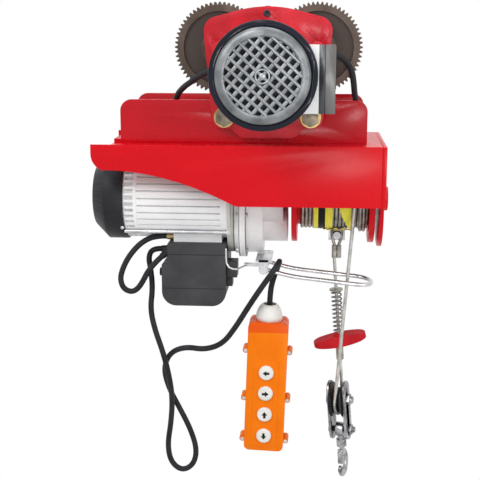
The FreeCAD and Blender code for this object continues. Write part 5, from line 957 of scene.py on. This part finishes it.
def finned_housing():
    """Barrel closed by its bore: r(a) = R less the groove depth in 36 grooves and a pocket; its foot."""
    step = 360.0 / BARREL_GROOVES
    angle = np.radians((np.arange(BARREL_GROOVES)[:, None] * step + np.array(BARREL_GROOVE_EDGES)).ravel())
    groove = np.tile(BARREL_GROOVE_CUT, BARREL_GROOVES)
    pocket = np.abs(np.degrees(angle) - BARREL_POCKET_ANGLE) < BARREL_POCKET_HALF
    rows = [
        (x, radius - BARREL_GROOVE_DEPTH * np.maximum(grooved * groove, pocketed * pocket))
        for x, radius, grooved, pocketed in BARREL_ROWS
    ]
    barrel = merged(barrel_points(angle, rows), grid_faces(len(rows), len(angle), True, True))
    foot = prism(BARREL_FOOT, -BARREL_FOOT_HALF, BARREL_FOOT_HALF)
    shapes = joined(barrel, foot)
    piece = mesh_piece("finned_housing", *shapes, bright_casting, "frame", "cast_aluminium", False)
    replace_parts(piece, "hoist_motor_housing")


def cover_screws():
    """Round screw heads sunk half way into the fan cover's edge, at equal angles."""
    share = np.linspace(0.0, math.pi, COVER_SCREW_STEPS)
    depth = -COVER_SCREW_HALF * np.cos(share)
    head = np.stack([depth, COVER_SCREW_TIP + COVER_SCREW_RADIUS * np.sin(share)], axis=1)
    for k in range(COVER_SCREWS):
        angle = math.radians(COVER_SCREW_FIRST + 360.0 / COVER_SCREWS * k)
        y = -COVER_RADIUS * math.cos(angle)
        z = HOIST_AXIS_Z - COVER_RADIUS * math.sin(angle)
        name = "cover_screw_" + str(k + 1)
        place = (COVER_SCREW_X, y, z)
        turned_piece(name, place, head, pale_bolt, "frame", "zinc_steel", COVER_SCREW_AROUND)


# Trolley motor's grille and the plate's top screw

# Sets of bars: name, lean, front, width and finish
GRILLE_BARS = [
    ("grille_bars_raised", -42.0, 0.2, 4.4, grey_casting),
    ("grille_bars_low", 48.0, 1.0, 5.0, grey_casting),
    # The ribs take the lighter grey, as painted highlight on their raised tops.
    ("grille_ribs", -42.0, -0.5, 1.8, grille_bar_painted_highlight),
]


def lattice_bars(width, front, lean):
    """Bars across a disc: half length sqrt(R^2 - u^2) at each offset u, turned by the lean about Y."""
    section = [
        (-0.5, GRILLE_BAR_BACK), (-0.5, front + GRILLE_BAR_EDGE), (-0.25, front), (0.25, front),
        (0.5, front + GRILLE_BAR_EDGE), (0.5, GRILLE_BAR_BACK),
    ]
    sides = len(section)
    count = int(GRILLE_FIELD / GRILLE_PITCH)
    cos, sin = math.cos(math.radians(lean)), math.sin(math.radians(lean))
    vertices, faces = [], []
    for k in range(-count, count + 1):
        offset = k * GRILLE_PITCH
        half = math.sqrt(GRILLE_FIELD ** 2 - offset ** 2)
        near = len(vertices)
        far = near + sides
        for along in (-half, half):
            for across, depth in section:
                u = offset + across * width
                vertices.append((along * cos - u * sin, depth, along * sin + u * cos))
        faces += [list(range(near, far)), list(range(far + sides - 1, far - 1, -1))]
        faces += [[near + n, far + n, far + (n + 1) % sides, near + (n + 1) % sides] for n in range(sides)]
    return np.array(vertices), faces


def fan_grille():
    """Crowned rim, two crossing sets of bars, ribs on one set, a middle boss and a round bar about it."""
    centre = np.array([0.0, GRILLE_FRONT, TROLLEY_AXIS_Z])
    place = ("frame", "cast_aluminium")
    pieces = [turned_ring("grille_rim", centre, GRILLE_RIM, grey_casting, *place, GRILLE_RIM_AROUND)]
    for name, lean, front, width, material in GRILLE_BARS:
        vertices, faces = lattice_bars(width, front, lean)
        pieces.append(mesh_piece(name, vertices + centre, faces, material, *place, False))
    boss = turned_piece("grille_boss", centre, GRILLE_BOSS, grille_bar_painted_highlight, *place, GRILLE_BOSS_AROUND)
    ring = turned_ring("grille_ring", centre, GRILLE_RING, grille_bar_painted_highlight, *place, GRILLE_RING_AROUND)
    pieces += [boss, ring]
    for piece in pieces:
        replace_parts(piece, "trolley_fan_grille")


def top_screw():
    """Dark screw with a round socket at the plate's top, over the plain one."""
    turned_piece("top_screw_head", TOP_SCREW, TOP_SCREW_HEAD, dark_steel, "frame", "zinc_steel",
                 TOP_SCREW_AROUND)


# Limit arm

def arm_bracket():
    """Bent strap under the gear case, with round-ended cheeks and the pivot bolt, its head and its nut."""
    x, z = ARM_PIVOT
    front, back, top = BRACKET_FRONT, BRACKET_BACK, BRACKET_TOP
    cheek = [(x - CHEEK_RADIUS, top)]
    cheek += round_outline(x, z, CHEEK_RADIUS, -180.0, 0.0, CHEEK_STEPS)
    cheek += [(x + CHEEK_RADIUS, top)]
    left, right, under = x - STRAP_HALF, x + STRAP_HALF, top - STRAP_THICK
    strap = [(left, under), (right, under), (right, top), (left, top)]
    hexagon = round_outline(x, z, PIVOT_HEX_RADIUS, 0.0, 300.0, 6)
    bolt = round_outline(x, z, PIVOT_RADIUS, 0.0, 360.0 - 360.0 / PIVOT_STEPS, PIVOT_STEPS)
    shapes = joined(
        prism(cheek, front, front + CHEEK_THICK), prism(cheek, back - CHEEK_THICK, back),
        prism(strap, front, back), prism(hexagon, front - PIVOT_HEAD, front),
        prism(hexagon, back, back + PIVOT_NUT), prism(bolt, front, back),
    )
    piece = mesh_piece("arm_bracket_strap", *shapes, zinc, "frame", "zinc_steel", False)
    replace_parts(piece, "limit_arm_bracket")


def lever_wire():
    """Bent wire from the arm's lever, forward and up in front of the gear case."""
    corners = np.array(LEVER_ROUTE, float)
    number = np.arange(len(corners))
    along = np.linspace(0, len(corners) - 1, LEVER_STEPS)
    path = np.stack([np.interp(along, number, corners[:, axis]) for axis in range(3)], axis=1)
    points = swept(path, LEVER_RADIUS, LEVER_AROUND)
    faces = capped_grid(LEVER_STEPS, LEVER_AROUND)
    mesh_piece("lever_wire", points, faces, zinc, "limit_arm", "zinc_steel")


# Handset

def hung(points):
    """Turns points drawn upright from the handset's top to its slightly turned place."""
    turn = math.radians(HANDSET_TURN)
    points = np.asarray(points, float)
    x, z = points[:, 0], points[:, 2]
    return np.stack([
        HANDSET_X + x * math.cos(turn) + z * math.sin(turn), points[:, 1],
        HANDSET_TOP - x * math.sin(turn) + z * math.cos(turn),
    ], axis=1)


def gland_shape(profile):
    """Solid turned about the handset's upright axis, in its turned place; returns points and faces."""
    ring = [(math.cos(a), math.sin(a)) for a in circle(GLAND_AROUND)]
    points = [(r * c, HANDSET_MIDDLE_Y + r * s, height) for height, r in profile for c, s in ring]
    return hung(points), capped_grid(len(profile), GLAND_AROUND)


def handset_trim():
    """Bowl-shaped cable gland with an open top, and the raised panel about the buttons."""
    gland = mesh_piece("handset_gland", *gland_shape(GLAND_BOWL), white_moulding, "frame", "white_plastic")
    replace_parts(gland, "pendant_gland")
    mesh_piece("gland_mouth", *gland_shape(GLAND_MOUTH), cable_jacket, "frame", "black_plastic", False)
    right, top, low = PANEL_HALF - PANEL_CORNER, PANEL_TOP - PANEL_CORNER, PANEL_LOW + PANEL_CORNER
    outline = []
    for x, z, first in ((right, top, 0), (-right, top, 90), (-right, low, 180), (right, low, 270)):
        outline += round_outline(x, z, PANEL_CORNER, first, first + 90, PANEL_CORNER_STEPS)
    vertices, faces = prism(outline, HANDSET_FRONT - PANEL_PROUD, HANDSET_FRONT + PANEL_SUNK)
    points = hung(vertices)
    panel = mesh_piece("handset_panel", points, faces, orange_shell, "frame", "orange_plastic", False)
    rounded(panel, PANEL_BEVEL)


def button_caps():
    """Domed caps over the four plungers, each with a raised arrow that shows its direction."""
    for name, (x, z), turn in BUTTONS:
        place = (x, BUTTON_FRONT, z)
        cap = turned_piece(name + "_cap", place, BUTTON_DOME, white_moulding, name, "white_plastic",
                           BUTTON_AROUND)
        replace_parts(cap, name)
        cos, sin = math.cos(math.radians(turn)), math.sin(math.radians(turn))
        outline = [(x + along * cos - up * sin, z + along * sin + up * cos) for along, up in ARROW]
        shape = prism(outline, BUTTON_FRONT - ARROW_PROUD, BUTTON_FRONT + ARROW_SUNK)
        mesh_piece(name + "_arrow", *shape, black_band, name, "black_plastic", False)


end_ring()
finned_housing()
arm_bracket()
lever_wire()
fan_grille()
handset_trim()
top_screw()
cover_screws()
button_caps()


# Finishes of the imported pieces: those with rounded edges and their width, and those that stay as they are
SOFT = {
    "hanger_bracket": (shade_darkened_hanger_red, 1.2),
    "hoist_frame": (red_sheet, 1.6),
    "drum_end_plate": (red_sheet, 1.2),
    "trolley_front_plate": (red_casting, 1.5),
    "trolley_rear_plate": (red_casting, 1.5),
    "rope_drum": (red_sheet, 1.0),
    "switch_box": (grey_box, 1.2),
    "switch_box_cover": (cover_finish, 1.2),
    "trolley_terminal_box": (box_casting, 1.2),
    "trolley_motor_ring": (gloss_black, 2.5),
    "gearbox_motor_side": (gear_case, 0.7),
    "gearbox_drum_side": (gear_case, 0.8),
    "sheave_block": (worn_steel, 0.6),
    "swivel_eye": (worn_steel, 0.6),
    "cross_bolts": (dull_bolt, 0.5),
    "hoist_bolts": (pale_bolt, 0.4),
    "pendant_front": (orange_shell, 2.0),
    "pendant_back": (orange_shell, 2.0),
    "hoist_fan_cover": (black_cover, 6.0),
    "hook": (worn_steel, 1.0),
}
PLAIN = {
    "geared_wheel_left": dark_wheel,
    "geared_wheel_right": dark_wheel,
    "plain_wheel_left": dark_wheel,
    "plain_wheel_right": dark_wheel,
    "wheel_axles": axle_finish,
    "wheel_bearings": machined,
    "trolley_rotor": dark_steel,
    "trolley_layshaft": machined,
    "drive_shaft": machined,
    "hoist_rotor": machined,
    "hoist_layshaft": machined,
    "drum_shaft": machined,
    "shaft_bearings": machined,
    "cross_bolt_washers": dull_gold,
    "motor_tie_rods": zinc,
    "rope_anchor": zinc,
    "limit_arm": zinc,
    "small_screws": screw_finish,
    "hook_latch": worn_steel,
    "trolley_motor_housing": bright_casting,
    "stator_cores": laminations,
    "sheave": dark_steel,
    "rope_end": rope_steel,
    "cable_glands": gland_finish,
    "limit_saddle": saddle_red,
}
for node, (material, width) in SOFT.items():
    softened(node, material, width)
for node, material in PLAIN.items():
    for slot in frame["nodes"][node].material_slots:
        slot.material = material


# Floor, light and camera

def seen_white(tree, lit, output):
    """Shows plain white to camera, glossy and transmission rays and the given shader to all others."""
    nodes, links = tree.nodes, tree.links
    path = nodes.new("ShaderNodeLightPath")
    share = path.outputs["Is Camera Ray"]
    for label in ("Is Glossy Ray", "Is Transmission Ray"):
        either = nodes.new("ShaderNodeMath")
        either.operation = "MAXIMUM"
        links.new(share, either.inputs[0])
        links.new(path.outputs[label], either.inputs[1])
        share = either.outputs[0]
    kind = "ShaderNodeBackground" if output.bl_idname == "ShaderNodeOutputWorld" else "ShaderNodeEmission"
    seen = nodes.new(kind)
    seen.inputs["Color"].default_value = WHITE
    seen.inputs["Strength"].default_value = 1.0
    mixed = nodes.new("ShaderNodeMixShader")
    links.new(share, mixed.inputs["Fac"])
    links.new(lit, mixed.inputs[1])
    links.new(seen.outputs[0], mixed.inputs[2])
    links.new(mixed.outputs[0], output.inputs["Surface"])


def studio():
    """White floor and world, a key from the upper left, a fill, a top light and a lamp for sheen alone."""
    floor_mesh = bpy.data.meshes.new("floor")
    edges = ((-1, -1), (1, -1), (1, 1), (-1, 1))
    corners = [(x * FLOOR_REACH, y * FLOOR_REACH, FLOOR_Z) for x, y in edges]
    floor_mesh.from_pydata(corners, [], [(0, 1, 2, 3)])
    ground = bpy.data.materials.new("white floor")
    ground.use_nodes = True
    shader = ground.node_tree.nodes["Principled BSDF"]
    shader.inputs["Base Color"].default_value = FLOOR_COLOUR
    shader.inputs["Roughness"].default_value = FLOOR_ROUGHNESS
    seen_white(ground.node_tree, shader.outputs[0], ground.node_tree.nodes["Material Output"])
    placed("floor", floor_mesh, ground)

    world = bpy.data.worlds.new("studio")
    world.use_nodes = True
    lit = world.node_tree.nodes["Background"]
    lit.inputs["Color"].default_value = WHITE
    lit.inputs["Strength"].default_value = WORLD_STRENGTH
    seen_white(world.node_tree, lit.outputs[0], world.node_tree.nodes["World Output"])
    bpy.context.scene.world = world

    for name, place, size, power in LAMPS:
        lamp = bpy.data.lights.new(name, "AREA")
        lamp.size = size
        lamp.energy = power
        holder = bpy.data.objects.new(name, lamp)
        holder.location = place
        aim = Vector(LAMP_TARGET) - Vector(place)
        holder.rotation_euler = aim.to_track_quat("-Z", "Y").to_euler()
        bpy.context.scene.collection.objects.link(holder)
        holder.visible_diffuse = name != "sheen"


def photo_camera():
    """Camera that sees the hoist as the photograph does."""
    azimuth = math.radians(CAMERA_AZIMUTH)
    drop = math.radians(CAMERA_DROP)
    aim = Vector((
        -math.sin(azimuth) * math.cos(drop), math.cos(azimuth) * math.cos(drop), -math.sin(drop),
    ))
    lens = bpy.data.cameras.new("photo camera")
    lens.lens = CAMERA_LENS
    lens.sensor_width = SENSOR_WIDTH
    camera = bpy.data.objects.new("photo camera", lens)
    camera.location = CAMERA_PLACE
    camera.rotation_euler = aim.to_track_quat("-Z", "Y").to_euler()
    bpy.context.scene.collection.objects.link(camera)
    bpy.context.scene.camera = camera


studio()
photo_camera()
bpy.context.scene.view_settings.view_transform = "Standard"
